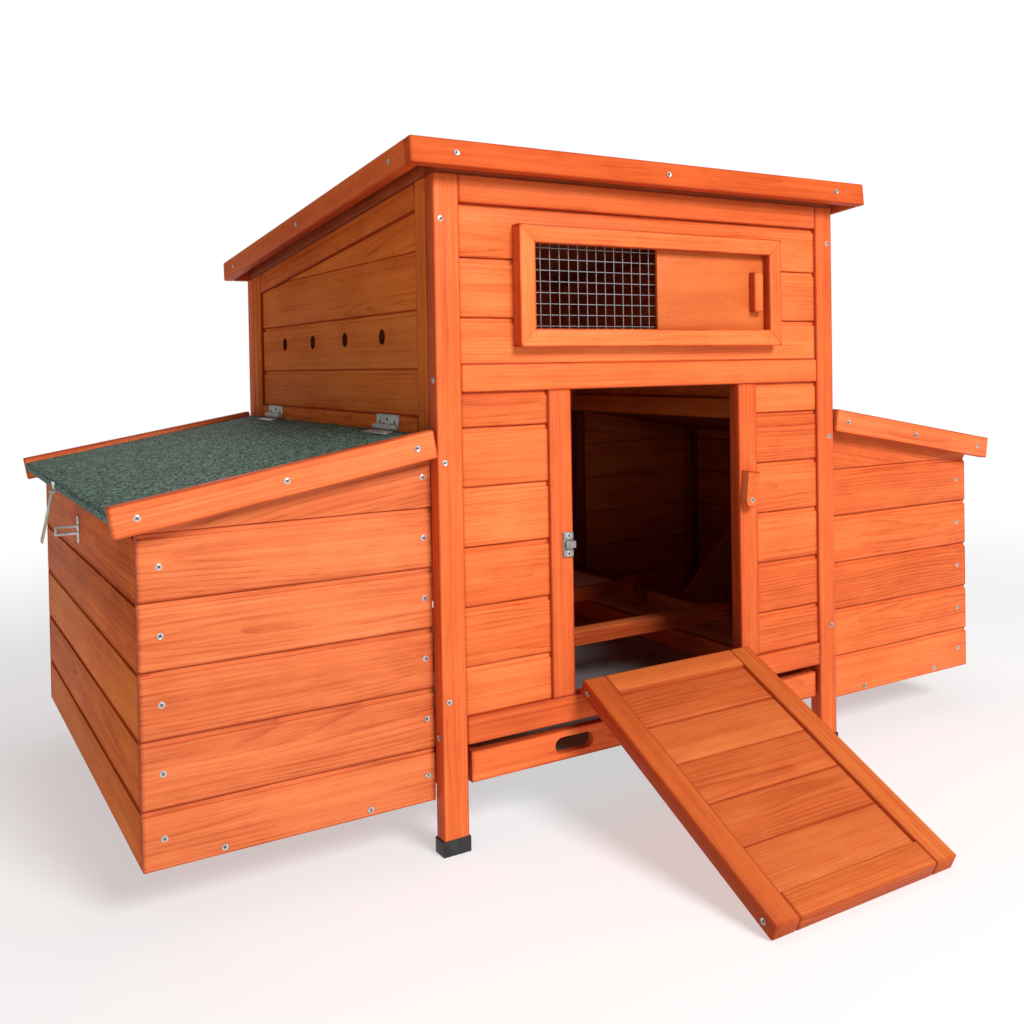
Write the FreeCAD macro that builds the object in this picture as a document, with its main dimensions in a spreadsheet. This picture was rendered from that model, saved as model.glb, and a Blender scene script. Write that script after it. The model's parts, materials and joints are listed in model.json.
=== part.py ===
"""Raised chicken coop: a house on four legs, a nest box with a hinged lid on each side,
a ramp that closes the doorway, a sliding window panel, a pull-out tray and two perches.

Local frame while modelling: X across the house from its middle, Y back from the front face of
the front legs, Z up from the ground. Each kept sub-part is then moved along Y, so that the
origin ends at the middle of the whole coop's footprint. The left side is modelled, and the
right side is its mirror image.
"""
import FreeCAD, Part
import os
import re

doc = FreeCAD.newDocument("chicken_coop")

# ---------------------------------------------------------------- driving dimensions (mm)
SIZES = {
    "house_width": 700,        # outside of the left legs to outside of the right legs
    "house_depth": 820,        # front of the front legs to back of the rear legs
    "front_height": 866,       # ground to the top of the front frame
    "rear_height": 788,        # ground to the top of the rear frame
    "leg_width": 36,           # across the front of a leg
    "leg_depth": 22,           # front to back of a front leg, and of the rails beside it
    "rear_leg_depth": 36,
    "foot_height": 20,         # plastic cap under each leg
    "foot_wall": 1.5,
    "foot_floor": 3,
    "rail_height": 36,         # header, top rail and sill rail
    "sill_top": 172,           # ground to the doorway's sill
    "header_bottom": 588,      # ground to the top of the doorway
    "door_width": 299,         # clear width of the doorway
    "door_post_width": 36,
    "board_thick": 12,
    "board_inset": 4,          # boards stand back from the frame's faces
    "board_pitch": 77,
    "groove_height": 7,        # shadow strip along the top edge of each board
    "groove_depth": 3,
    "first_front_row": 63,     # lowest board beside the doorway
    "first_upper_row": 60,     # lowest board above the header
    "window_width": 412,       # inside the window's moulding
    "window_height": 113,
    "window_offset": -5,       # middle of the window from the middle of the house
    "window_sill": 669.5,      # ground to the moulding's lower inside edge
    "moulding_width": 24,
    "moulding_proud": 16,      # in front of the legs' front face
    "track_lap": 8,            # rebate behind the moulding, above, below and beside the opening
    "track_depth": 6,
    "panel_thick": 5,
    "panel_width": 210,
    "slide_clearance": 0.5,
    "wire_size": 1.2,
    "mesh_pitch": 15,
    "handle_width": 18,
    "handle_height": 60,
    "handle_thick": 12,
    "handle_margin": 18,       # handle to the panel's right edge
    "gable_bottom": 521,       # ground to the lower edge of each side panel
    "stile_width": 35,
    "rear_stile_width": 46,
    "first_gable_row": 62,
    "vent_size": 22,
    "vent_pitch": 144,
    "vent_height": 664,
    "fascia_height": 34,
    "fascia_thick": 16,
    "roof_front_overhang": 32,
    "roof_side_overhang": 43,
    "roof_rear_overhang": 2,
    "roof_board_thick": 8,
    "felt_thick": 3,
    "felt_below_fascia": 1,
    "rafter_width": 22,
    "nest_reach": 354,         # how far each nest box stands out of the house
    "nest_bottom": 67,
    "nest_rear_margin": 20,    # nest box's back face to the house's back face
    "first_nest_row": 68,
    "cleat_size": 22,
    "divider_thick": 9,
    "divider_slope": 43,       # degrees from level
    "lid_slope": 9.8,          # degrees, down and away from the house
    "lid_length": 387,         # hinge pin to the lid's outer end
    "lid_board_thick": 9,
    "lid_front_overhang": 26.5,
    "lid_rear_overhang": 16.5,
    "lid_seat_gap": 0.3,
    "batten_height": 36,
    "batten_thick": 16,
    "batten_proud": 8,         # batten's top edge above the felt
    "pin_offset": 5,           # hinge pin from the wall, and from the felt
    "pin_height": 540,         # ground to the lids' hinge pins
    "pin_size": 3,
    "pin_clearance": 0.08,
    "knuckle_size": 8,
    "knuckle_gap": 0.4,
    "leaf_thick": 1.5,
    "leaf_reach": 17,
    "hinge_length": 76,
    "hinge_spacing": 502,      # middle to middle of a lid's two hinges
    "ramp_thick": 22,
    "ramp_side_gap": 1.5,
    "ramp_end_gap": 2,
    "ramp_pin_offset": 4,      # hinge pin in front of the closed ramp's face
    "ramp_pin_rise": 1,        # hinge pin above the sill rail
    "ramp_stile_width": 36,
    "ramp_rail_width": 36,
    "ramp_board_thick": 9,
    "ramp_board_inset": 5,
    "ramp_board_count": 5,
    "ramp_hinge_length": 50,
    "ramp_hinge_margin": 53,   # middle of each ramp hinge from the ramp's side
    "tray_bottom": 85,
    "tray_height": 40,
    "tray_side_gap": 7,        # tray front to the legs beside it
    "tray_board_thick": 12,
    "tray_pan_thick": 3,
    "tray_back_gap": 4,
    "tray_seat_gap": 0.3,
    "slot_width": 62,          # finger slot in the tray's front
    "slot_height": 22,
    "slot_place": 150,         # slot's middle, left of the tray's middle
    "runner_height": 18,
    "runner_width": 22,
    "runner_setback": 50,      # front legs to the runners' front ends
    "perch_width": 36,
    "perch_height": 22,
    "perch_bottom": 166,
    "front_perch_place": 244,
    "rear_perch_place": 517,
    "perch_end_gap": 1,
    "perch_gap": 0.3,
    "bracket_cheek": 12,
    "bracket_thick": 18,
    "bracket_lip": 14,         # bracket's cheeks above the perch's underside
    "bracket_base": 26,        # bracket below the perch's underside
    "button_width": 22,
    "button_height": 54,
    "button_thick": 15,
    "button_margin": 11.5,     # turn button's pivot from the doorway's edge
    "button_pivot": 413,       # ground to the turn button's pivot
    "button_tilt": 6,          # degrees
    "button_gap": 0.4,
    "catch_height": 378,       # ground to the middle of the door catch
    "catch_length": 34,
    "catch_width": 16,
    "screw_head": 8,
    "screw_proud": 1,
    "strap_length": 72,
    "strap_width": 22,
    "strap_thick": 1.5,
    "strap_slot_length": 24,
    "strap_slot_width": 8,
    "strap_slot_margin": 4,
    "strap_tilt": 12,          # degrees out from upright, resting off the staple
    "strap_knuckle": 5,
    "staple_wire": 4,
    "staple_height": 14,
    "staple_plate": 38,        # height of the staple's plate
    "staple_plate_width": 15,
    "hasp_place": 440,         # middle of the hasp from the front of the house
}

sheet = doc.addObject("Spreadsheet::Sheet", "Sizes")
for row, (alias, value) in enumerate(SIZES.items(), start=1):
    sheet.set(f"A{row}", alias.replace("_", " "))
    sheet.set(f"B{row}", str(value))
    sheet.setAlias(f"B{row}", alias)
doc.recompute()

# ---------------------------------------------------------------- values worked out from them
HALF = "(house_width / 2)"
INNER = f"({HALF} - leg_width)"                      # inside face of the legs
SILL_BOTTOM = "(sill_top - rail_height)"
HEADER_TOP = "(header_bottom + rail_height)"
BOARD_FACE = "board_inset"
BOARD_BACK = "(board_inset + board_thick)"
DOOR_HALF = "(door_width / 2)"
BUTTON_X = f"({DOOR_HALF} + button_margin)"
ROOF_SLOPE = "atan((front_height - rear_height) / house_depth)"
REAR_LEG_FRONT = "(house_depth - rear_leg_depth)"
GABLE_FRONT = "(leg_depth + stile_width)"
GABLE_REAR = f"({REAR_LEG_FRONT} - rear_stile_width)"
GABLE_RAIL_TOP = "(gable_bottom + rail_height)"
WINDOW_LEFT = "(window_offset - window_width / 2)"
WINDOW_RIGHT = "(window_offset + window_width / 2)"
WINDOW_TOP = "(window_sill + window_height)"
TRACK_FRONT = "(board_inset - track_depth)"
NEST_END = f"({HALF} + nest_reach)"
NEST_FRONT = "leg_depth"
NEST_REAR = "(house_depth - nest_rear_margin)"
FLOOR_TOP = "(nest_bottom + board_thick)"
PIN_X = f"({HALF} + pin_offset)"
LID_FRONT = f"({NEST_FRONT} - lid_front_overhang)"
LID_REAR = f"({NEST_REAR} + lid_rear_overhang)"
LID_UNDER = "(0 - pin_offset - felt_thick - lid_board_thick)"      # from the pin, square to the lid
RAMP_WIDTH = "(door_width - 2 * ramp_side_gap)"
RAMP_FOOT = "(ramp_end_gap - ramp_pin_rise)"                       # ramp's lower end above the pin
RAMP_HEAD = "(header_bottom - sill_top - ramp_end_gap - ramp_pin_rise)"
RAMP_PIN_Z = "(sill_top + ramp_pin_rise)"
RAMP_TILT = (f"(asin({RAMP_PIN_Z} / sqrt({RAMP_HEAD} ^ 2 + ramp_pin_offset ^ 2))"
             f" + atan(ramp_pin_offset / {RAMP_HEAD}))")
RAMP_TIP = (f"({RAMP_HEAD} * cos({RAMP_TILT}) + (ramp_pin_offset + ramp_thick) * sin({RAMP_TILT})"
            " + ramp_pin_offset)")
ROOF_TAIL = f"(house_depth + roof_rear_overhang * cos({ROOF_SLOPE}) + fascia_height * sin({ROOF_SLOPE}))"
FRAME_Y = f"(({RAMP_TIP} - {ROOF_TAIL}) / 2)"        # brings the footprint's middle to 0

NAME = re.compile(r"[a-z][a-z_]*")
nodes = []


def sized(text):
    """The expression, with each driving dimension read from the sheet."""
    return NAME.sub(lambda word: f"Sizes.{word.group()}" if word.group() in SIZES else word.group(),
                    str(text))


def bind(item, **places):
    """Ties properties to expressions; a double underscore stands for a dot."""
    for place, text in places.items():
        item.setExpression(place.replace("__", "."), sized(text))
    return item


def place(item, x=0, y=0, z=0):
    return bind(item, Placement__Base__x=x, Placement__Base__y=y, Placement__Base__z=z)


def block(name, x, y, z):
    """A box from its three spans, each a pair of expressions."""
    box = doc.addObject("Part::Box", name)
    bind(box, Length=f"({x[1]}) - ({x[0]})", Width=f"({y[1]}) - ({y[0]})", Height=f"({z[1]}) - ({z[0]})")
    return place(box, x[0], y[0], z[0])


def rod(name, centre, radius, length, axis):
    """A cylinder that starts at its centre point and runs along +X, +Y or +Z."""
    item = doc.addObject("Part::Cylinder", name)
    turn = {"x": (FreeCAD.Vector(0, 1, 0), 90), "y": (FreeCAD.Vector(1, 0, 0), -90),
            "z": (FreeCAD.Vector(0, 0, 1), 0)}
    item.Placement = FreeCAD.Placement(FreeCAD.Vector(), FreeCAD.Rotation(*turn[axis]))
    bind(item, Radius=radius, Height=length)
    return place(item, *centre)


def head(name, x, y, z, face):
    """A screw's head on a face that looks along -y or -x."""
    radius = "screw_head / 2"
    if face == "-y":
        return rod(name, (x, f"({y}) - screw_proud", z), radius, "screw_proud", "y")
    return rod(name, (f"({x}) - screw_proud", y, z), radius, "screw_proud", "x")


def cut(name, base, *tools):
    """The base less each tool in turn."""
    for number, tool in enumerate(tools):
        result = doc.addObject("Part::Cut", f"{name}_cut{number}")
        result.Base = base
        result.Tool = tool
        base = result
    return base


def fuse(name, *shapes):
    item = doc.addObject("Part::MultiFuse", name)
    item.Shapes = list(shapes)
    return item


def group(name, items):
    """A compound of separate solids."""
    item = doc.addObject("Part::Compound", name)
    item.Links = list(items)
    return item


def turned(name, items, axis, angle, x=0, y=0, z=0):
    """A compound whose own frame is moved to a point and turned there."""
    item = group(name, items)
    item.Placement = FreeCAD.Placement(FreeCAD.Vector(), FreeCAD.Rotation(axis, 10))
    return place(bind(item, Placement__Rotation__Angle=angle), x, y, z)


def mirrored(name, item):
    twin = doc.addObject("Part::Mirroring", name)
    twin.Source = item
    twin.Normal = FreeCAD.Vector(1, 0, 0)
    return twin


def keep(name, items):
    """A kept sub-part: separate solids in one node, moved into the coop's frame."""
    node = place(group(name, items), 0, FRAME_Y, 0)
    node.Label = name
    nodes.append(node)
    return node


def keep_both(name, items):
    """The left sub-part and its mirror image on the right."""
    left = group(f"{name}_pieces", items)
    keep(f"left_{name}", [left])
    keep(f"right_{name}", [mirrored(f"{name}_twin", left)])


def keep_pair(name, items):
    """One node that holds the pieces of the left side and their mirror images."""
    left = group(f"{name}_pieces", items)
    return keep(name, [left, mirrored(f"{name}_twin", left)])


X_AXIS = FreeCAD.Vector(1, 0, 0)
Y_AXIS = FreeCAD.Vector(0, 1, 0)


# ---------------------------------------------------------------- boards
def board(name, x, y, z, face):
    """A level board with its shadow strip; face names the side that shows: -x, -y or +y."""
    strip_z = (f"({z[1]}) - groove_height", f"({z[1]}) + 1")
    strips = {
        "-x": ((f"({x[0]}) - 1", f"({x[0]}) + groove_depth"), y),
        "-y": (x, (f"({y[0]}) - 1", f"({y[0]}) + groove_depth")),
        "+y": (x, (f"({y[1]}) - groove_depth", f"({y[1]}) + 1")),
    }
    strip_x, strip_y = strips[face]
    return cut(name, block(f"{name}_plank", x, y, z), block(f"{name}_strip", strip_x, strip_y, strip_z))


def rows(bottom, first, count):
    """Spans of stacked rows: the first has its own height, the others share the pitch."""
    edges = [bottom] + [f"({bottom} + {first} + {step} * board_pitch)" for step in range(count)]
    return list(zip(edges[:-1], edges[1:]))


# ---------------------------------------------------------------- sloping planes that trim the pieces
def roof_side(name, low, high):
    """A slab along the roof's slope; low and high are measured square from the frame's top plane."""
    slab = block(f"{name}_slab", ("0 - house_width", "house_width"), ("0 - house_depth", "2 * house_depth"),
                 (low, high))
    return turned(name, [slab], X_AXIS, f"-{ROOF_SLOPE}", z="front_height")


above_roof = roof_side("above_roof", 0, "front_height")
above_gable_rail = roof_side("above_gable_rail", "0 - rail_height", "front_height")
below_gable_rail = roof_side("below_gable_rail", "0 - front_height", "0 - rail_height")


def lid_side(name, low):
    """Everything above a plane square to the lid, measured from its hinge pin."""
    slab = block(f"{name}_slab", ("0 - 2 * lid_length", "lid_length"), ("0 - house_depth", "2 * house_depth"),
                 (low, f"({low}) + front_height"))
    return turned(name, [slab], Y_AXIS, "0 - lid_slope", x=f"0 - {PIN_X}", z="pin_height")


above_nest = lid_side("above_nest", f"{LID_UNDER} - lid_seat_gap")


# ---------------------------------------------------------------- frame of the house
def leg_spans():
    """Each leg's name, and its spans across and along the house."""
    sides = {"left": (f"0 - {HALF}", f"0 - {INNER}"), "right": (INNER, HALF)}
    ends = {"front": (0, "leg_depth"), "rear": (REAR_LEG_FRONT, "house_depth")}
    return [(f"{end}_{side}", x, y) for end, y in ends.items() for side, x in sides.items()]


def make_frame():
    legs = {}
    caps = []
    for name, x, y in leg_spans():
        post = block(f"{name}_post", x, y, ("foot_floor", "front_height"))
        legs[name] = cut(f"{name}_leg", post, above_roof)
        outside = block(f"{name}_cap_body", (f"{x[0]} - foot_wall", f"{x[1]} + foot_wall"),
                        (f"{y[0]} - foot_wall", f"{y[1]} + foot_wall"), (0, "foot_height"))
        socket = block(f"{name}_cap_socket", x, y, ("foot_floor", "foot_height + 1"))
        caps.append(cut(f"{name}_cap", outside, socket))
    keep("front_legs", [legs["front_left"], legs["front_right"]])
    keep("rear_legs", [legs["rear_left"], legs["rear_right"]])
    keep("foot_caps", caps)

    across = (f"0 - {INNER}", INNER)
    front = (0, "leg_depth")
    rear = ("house_depth - leg_depth", "house_depth")
    top = block("front_top_rail_block", across, front, ("front_height - rail_height", "front_height"))
    header = block("header", across, front, ("header_bottom", HEADER_TOP))
    sill = block("sill_rail", across, front, (SILL_BOTTOM, "sill_top"))
    keep("front_rails", [cut("front_top_rail", top, above_roof), header, sill])
    rear_top = block("rear_top_rail_block", across, rear, ("rear_height - rail_height", "front_height"))
    rear_sill = block("rear_sill_rail", across, rear, (SILL_BOTTOM, "sill_top"))
    keep("rear_rails", [cut("rear_top_rail", rear_top, above_roof), rear_sill])

    post = block("left_door_post", (f"0 - {DOOR_HALF} - door_post_width", f"0 - {DOOR_HALF}"), front,
                 ("sill_top", "header_bottom"))
    keep("door_posts", [post, mirrored("right_door_post", post)])
    side_sill = block("left_sill", (f"0 - {HALF}", f"0 - {HALF} + leg_depth"), ("leg_depth", REAR_LEG_FRONT),
                      (SILL_BOTTOM, "sill_top"))
    keep("side_sills", [side_sill, mirrored("right_sill", side_sill)])


# ---------------------------------------------------------------- front and rear boards
def make_front_boards():
    depth = (BOARD_FACE, BOARD_BACK)
    lower = []
    for number, z in enumerate(rows("sill_top", "first_front_row", 6)):
        z = (z[0], "header_bottom") if number == 5 else z
        side = board(f"lower_left_{number}", (f"0 - {INNER}", f"0 - {DOOR_HALF} - door_post_width"), depth,
                     z, "-y")
        lower += [side, mirrored(f"lower_right_{number}", side)]
    keep("front_lower_boards", lower)

    hole = block("window_hole", (f"{WINDOW_LEFT} - track_lap", f"{WINDOW_RIGHT} + track_lap"),
                 (0, "2 * leg_depth"),
                 ("window_sill - track_lap", f"{WINDOW_TOP} + track_lap"))
    upper = []
    for number, z in enumerate(rows(HEADER_TOP, "first_upper_row", 3)):
        z = (z[0], "front_height - rail_height") if number == 2 else z
        plank = board(f"upper_{number}", (f"0 - {INNER}", INNER), depth, z, "-y")
        upper.append(cut(f"upper_open_{number}", plank, hole))
    keep("front_upper_boards", upper)

    back = ("house_depth - board_inset - board_thick", "house_depth - board_inset")
    rear = []
    for number, z in enumerate(rows("sill_top", "first_front_row", 8)):
        z = (z[0], "rear_height - rail_height") if number == 7 else z
        rear.append(board(f"rear_{number}", (f"0 - {INNER}", INNER), back, z, "+y"))
    keep("rear_boards", rear)


# ---------------------------------------------------------------- window
def mitred(name, length, x, z, angle):
    """One side of the moulding: its short edge, with the rebate behind it, faces the opening."""
    bar = doc.addObject("Part::Wedge", f"{name}_bar")
    half = f"({length}) / 2"
    bind(bar, Xmin=f"0 - {half} - moulding_width", Xmax=f"{half} + moulding_width", X2min=f"0 - {half}",
         X2max=half,
         Ymin="0 - moulding_width", Ymax=0, Zmin="0 - board_inset", Zmax="moulding_proud",
         Z2min="0 - board_inset", Z2max="moulding_proud")
    rebate = block(f"{name}_rebate", (f"0 - {half} - track_lap", f"{half} + track_lap"), ("0 - track_lap", 1),
                   ("0 - board_inset - 1", "0 - board_inset + track_depth"))
    side = turned(f"{name}_turn", [cut(name, bar, rebate)], FreeCAD.Vector(0, 0, 1), angle)
    item = group(f"{name}_upright", [side])
    item.Placement = FreeCAD.Placement(FreeCAD.Vector(), FreeCAD.Rotation(X_AXIS, 90))
    return place(item, x, 0, z)


def make_window():
    middle_z = "(window_sill + window_height / 2)"
    keep("window_moulding", [
        mitred("moulding_bottom", "window_width", "window_offset", "window_sill", 0),
        mitred("moulding_right", "window_height", WINDOW_RIGHT, middle_z, 90),
        mitred("moulding_top", "window_width", "window_offset", WINDOW_TOP, 180),
        mitred("moulding_left", "window_height", WINDOW_LEFT, middle_z, 270),
    ])

    left = f"({WINDOW_LEFT} - track_lap)"
    right = f"({WINDOW_RIGHT} + track_lap)"
    low = "(window_sill - track_lap)"
    high = f"({WINDOW_TOP} + track_lap)"
    radius = "wire_size / 2"
    wires = []
    uprights = int((SIZES["window_width"] + 2 * SIZES["track_lap"]) / SIZES["mesh_pitch"])
    levels = int((SIZES["window_height"] + 2 * SIZES["track_lap"]) / SIZES["mesh_pitch"])
    for number in range(uprights):
        x = f"{left} + ({right} - {left}) / 2 + ({number} - {(uprights - 1) / 2}) * mesh_pitch"
        wires.append(rod(f"wire_up_{number}", (x, f"{BOARD_FACE} + {radius}", low), radius,
                         f"{high} - {low}", "z"))
    for number in range(levels):
        z = f"{low} + ({high} - {low}) / 2 + ({number} - {(levels - 1) / 2}) * mesh_pitch"
        wires.append(rod(f"wire_level_{number}", (left, f"{BOARD_FACE} + 3 * {radius}", z), radius,
                         f"{right} - {left}", "x"))
    keep("window_mesh", wires)

    panel_front = f"({TRACK_FRONT} + slide_clearance)"
    panel_right = f"({right} - slide_clearance)"
    panel = block("window_panel", (f"{panel_right} - panel_width", panel_right),
                  (panel_front, f"{panel_front} + panel_thick"),
                  (f"{low} + slide_clearance", f"{high} - slide_clearance"))
    handle_right = f"({panel_right} - handle_margin)"
    handle_z = "(window_sill + window_height / 2)"
    handle = block("panel_handle_block", (f"{handle_right} - handle_width", handle_right),
                   (f"{panel_front} - handle_thick", panel_front),
                   (f"{handle_z} - handle_height / 2", f"{handle_z} + handle_height / 2"))
    keep("sliding_panel", [panel])
    keep("panel_handle", [handle])


# ---------------------------------------------------------------- sides of the house
def make_gables():
    outer = (f"0 - {HALF}", f"0 - {HALF} + leg_depth")
    inset = (f"0 - {HALF} + board_inset", f"0 - {HALF} + board_inset + board_thick")
    stiles = [("front", "leg_depth", GABLE_FRONT), ("rear", GABLE_REAR, REAR_LEG_FRONT)]
    frame = []
    for name, near, far in stiles:
        upright = block(f"{name}_stile_block", outer, (near, far), ("gable_bottom", "front_height"))
        frame.append(cut(f"{name}_stile", upright, above_roof))
    between = (GABLE_FRONT, GABLE_REAR)
    frame.append(block("gable_bottom_rail", outer, between, ("gable_bottom", GABLE_RAIL_TOP)))
    slab = block("gable_top_rail_block", outer, between, (GABLE_RAIL_TOP, "front_height"))
    frame.append(cut("gable_top_rail", slab, above_roof, below_gable_rail))
    keep_pair("gable_frames", frame)

    planks = []
    for number, z in enumerate(rows(GABLE_RAIL_TOP, "first_gable_row", 4)):
        plank = board(f"gable_{number}", inset, between, z, "-x")
        if number == 1:
            gable_middle = f"({GABLE_FRONT} + {GABLE_REAR}) / 2"
            holes = [rod(f"vent_{hole}", (f"0 - {HALF} - 1", f"{gable_middle} + ({hole} - 1.5) * vent_pitch",
                                          "vent_height"), "vent_size / 2", "2 * leg_depth", "x")
                     for hole in range(4)]
            plank = cut("gable_vents", plank, *holes)
        if number >= 2:
            plank = cut(f"gable_trim_{number}", plank, above_gable_rail)
        planks.append(plank)
    keep_both("gable_boards", planks)


# ---------------------------------------------------------------- roof
def make_roof():
    length = f"(house_depth / cos({ROOF_SLOPE}) + roof_rear_overhang)"
    half = f"({HALF} + roof_side_overhang)"
    inside = f"({half} - fascia_thick)"
    front = "(0 - roof_front_overhang)"
    board_top = "(fascia_height - felt_below_fascia - felt_thick)"
    board_bottom = f"({board_top} - roof_board_thick)"

    def sloped(name, items):
        return turned(name, items, X_AXIS, f"-{ROOF_SLOPE}", z="front_height")

    height = (0, "fascia_height")
    fascias = [
        block("front_fascia", (f"0 - {half}", half), (front, f"{front} + fascia_thick"), height),
        block("left_fascia", (f"0 - {half}", f"0 - {inside}"), (f"{front} + fascia_thick", length), height),
        block("right_fascia", (inside, half), (f"{front} + fascia_thick", length), height),
        block("rear_fascia", (f"0 - {inside}", inside), (f"{length} - fascia_thick", length), height),
    ]
    keep("roof_fascias", [sloped("fascias_slope", fascias)])
    level = (f"{front} + fascia_thick", f"{length} - fascia_thick")
    across = (f"0 - {inside}", inside)
    keep("roof_board", [sloped("roof_board_slope",
                               [block("roof_panel", across, level, (board_bottom, board_top))])])
    felt = block("roof_felt_sheet", across, level, (board_top, f"{board_top} + felt_thick"))
    keep("roof_felt", [sloped("roof_felt_slope", [felt])])
    under = (0, board_bottom)
    back = f"{length} - fascia_thick"
    bearers = [block("front_bearer", (f"0 - {HALF}", HALF), (0, "leg_depth"), under)]
    places = {"left": f"(0 - {HALF})", "middle": "(0 - rafter_width / 2)",
              "right": f"({HALF} - rafter_width)"}
    for name, x in places.items():
        bearers.append(block(f"{name}_rafter", (x, f"{x} + rafter_width"), ("leg_depth", back), under))
    keep("roof_rafters", [sloped("rafters_slope", bearers)])


# ---------------------------------------------------------------- nest boxes
def make_nests():
    length = (f"0 - {NEST_END}", f"0 - {HALF}")
    front = (NEST_FRONT, f"{NEST_FRONT} + board_thick")
    rear = (f"{NEST_REAR} - board_thick", NEST_REAR)
    inside_y = (front[1], rear[0])
    end = (f"0 - {NEST_END}", f"0 - {NEST_END} + board_thick")
    stack = rows("nest_bottom", "first_nest_row", 6)
    stack[5] = (stack[5][0], "front_height")
    front_boards = []
    rear_boards = []
    end_boards = []
    for number, z in enumerate(stack):
        front_board = board(f"nest_front_{number}", length, front, z, "-y")
        rear_board = board(f"nest_rear_{number}", length, rear, z, "+y")
        end_board = board(f"nest_end_{number}", end, inside_y, z, "-x")
        if number >= 4:
            front_board = cut(f"nest_front_trim_{number}", front_board, above_nest)
            rear_board = cut(f"nest_rear_trim_{number}", rear_board, above_nest)
            end_board = cut(f"nest_end_trim_{number}", end_board, above_nest)
        front_boards.append(front_board)
        rear_boards.append(rear_board)
        end_boards.append(end_board)
    keep_both("nest_front", front_boards)
    keep_both("nest_rear", rear_boards)
    keep_both("nest_end", end_boards)

    inner = block("nest_inner_board", (f"0 - {HALF} - board_thick", f"0 - {HALF}"), inside_y,
                  (FLOOR_TOP, "sill_top"))
    floor = block("nest_floor_board", (end[1], f"0 - {HALF}"), inside_y, ("nest_bottom", FLOOR_TOP))
    keep_pair("nest_floors", [floor, inner])

    cleats = []
    corners_y = {"front": (front[1], f"{front[1]} + cleat_size"),
                 "rear": (f"{rear[0]} - cleat_size", rear[0])}
    for name, y in corners_y.items():
        outer = block(f"{name}_outer_cleat_block", (end[1], f"{end[1]} + cleat_size"), y,
                      (FLOOR_TOP, "front_height"))
        cleats.append(cut(f"{name}_outer_cleat", outer, above_nest))
        near = (f"0 - {HALF} - cleat_size", f"0 - {HALF}")
        cleats.append(block(f"{name}_inner_cleat", near, y, ("sill_top", "gable_bottom - pin_offset")))
    keep_pair("nest_cleats", cleats)

    middle = f"(({NEST_FRONT} + {NEST_REAR}) / 2)"
    plate = block("divider_plate", (end[1], f"0 - {HALF} - board_thick"),
                  (f"{middle} - divider_thick / 2", f"{middle} + divider_thick / 2"),
                  (FLOOR_TOP, "front_height"))
    slab = block("divider_slab", (0, "front_height"), ("0 - house_depth", "2 * house_depth"),
                 ("0 - front_height", "front_height"))
    away = turned("divider_away", [slab], Y_AXIS, "divider_slope - 90", x=f"0 - {HALF} - board_thick",
                  z="sill_top")
    keep_pair("nest_dividers", [cut("divider", plate, away, above_nest)])


# ---------------------------------------------------------------- hinges
def knuckles(name, axis, length, count, parity, radius):
    """The knuckles that one leaf owns, centred on the pin, along X or Y."""
    step = f"(({length}) / {count})"
    pieces = []
    for number in range(parity, count, 2):
        start = f"0 - ({length}) / 2 + {number} * {step} + knuckle_gap / 2"
        centre = (start, 0, 0) if axis == "x" else (0, start, 0)
        pieces.append(rod(f"{name}_knuckle_{number}", centre, radius, f"{step} - knuckle_gap", axis))
    return pieces


def pin_bore(name, axis, length):
    """The clear bore for the pin, a little longer than the hinge."""
    start = f"0 - ({length}) / 2 - 1"
    centre = (start, 0, 0) if axis == "x" else (0, start, 0)
    return rod(f"{name}_bore", centre, "pin_size / 2 + pin_clearance", f"({length}) + 2", axis)


def hinge_pin(name, axis, length):
    start = f"0 - ({length}) / 2"
    centre = (start, 0, 0) if axis == "x" else (0, start, 0)
    return rod(f"{name}_pin", centre, "pin_size / 2", length, axis)


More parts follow.
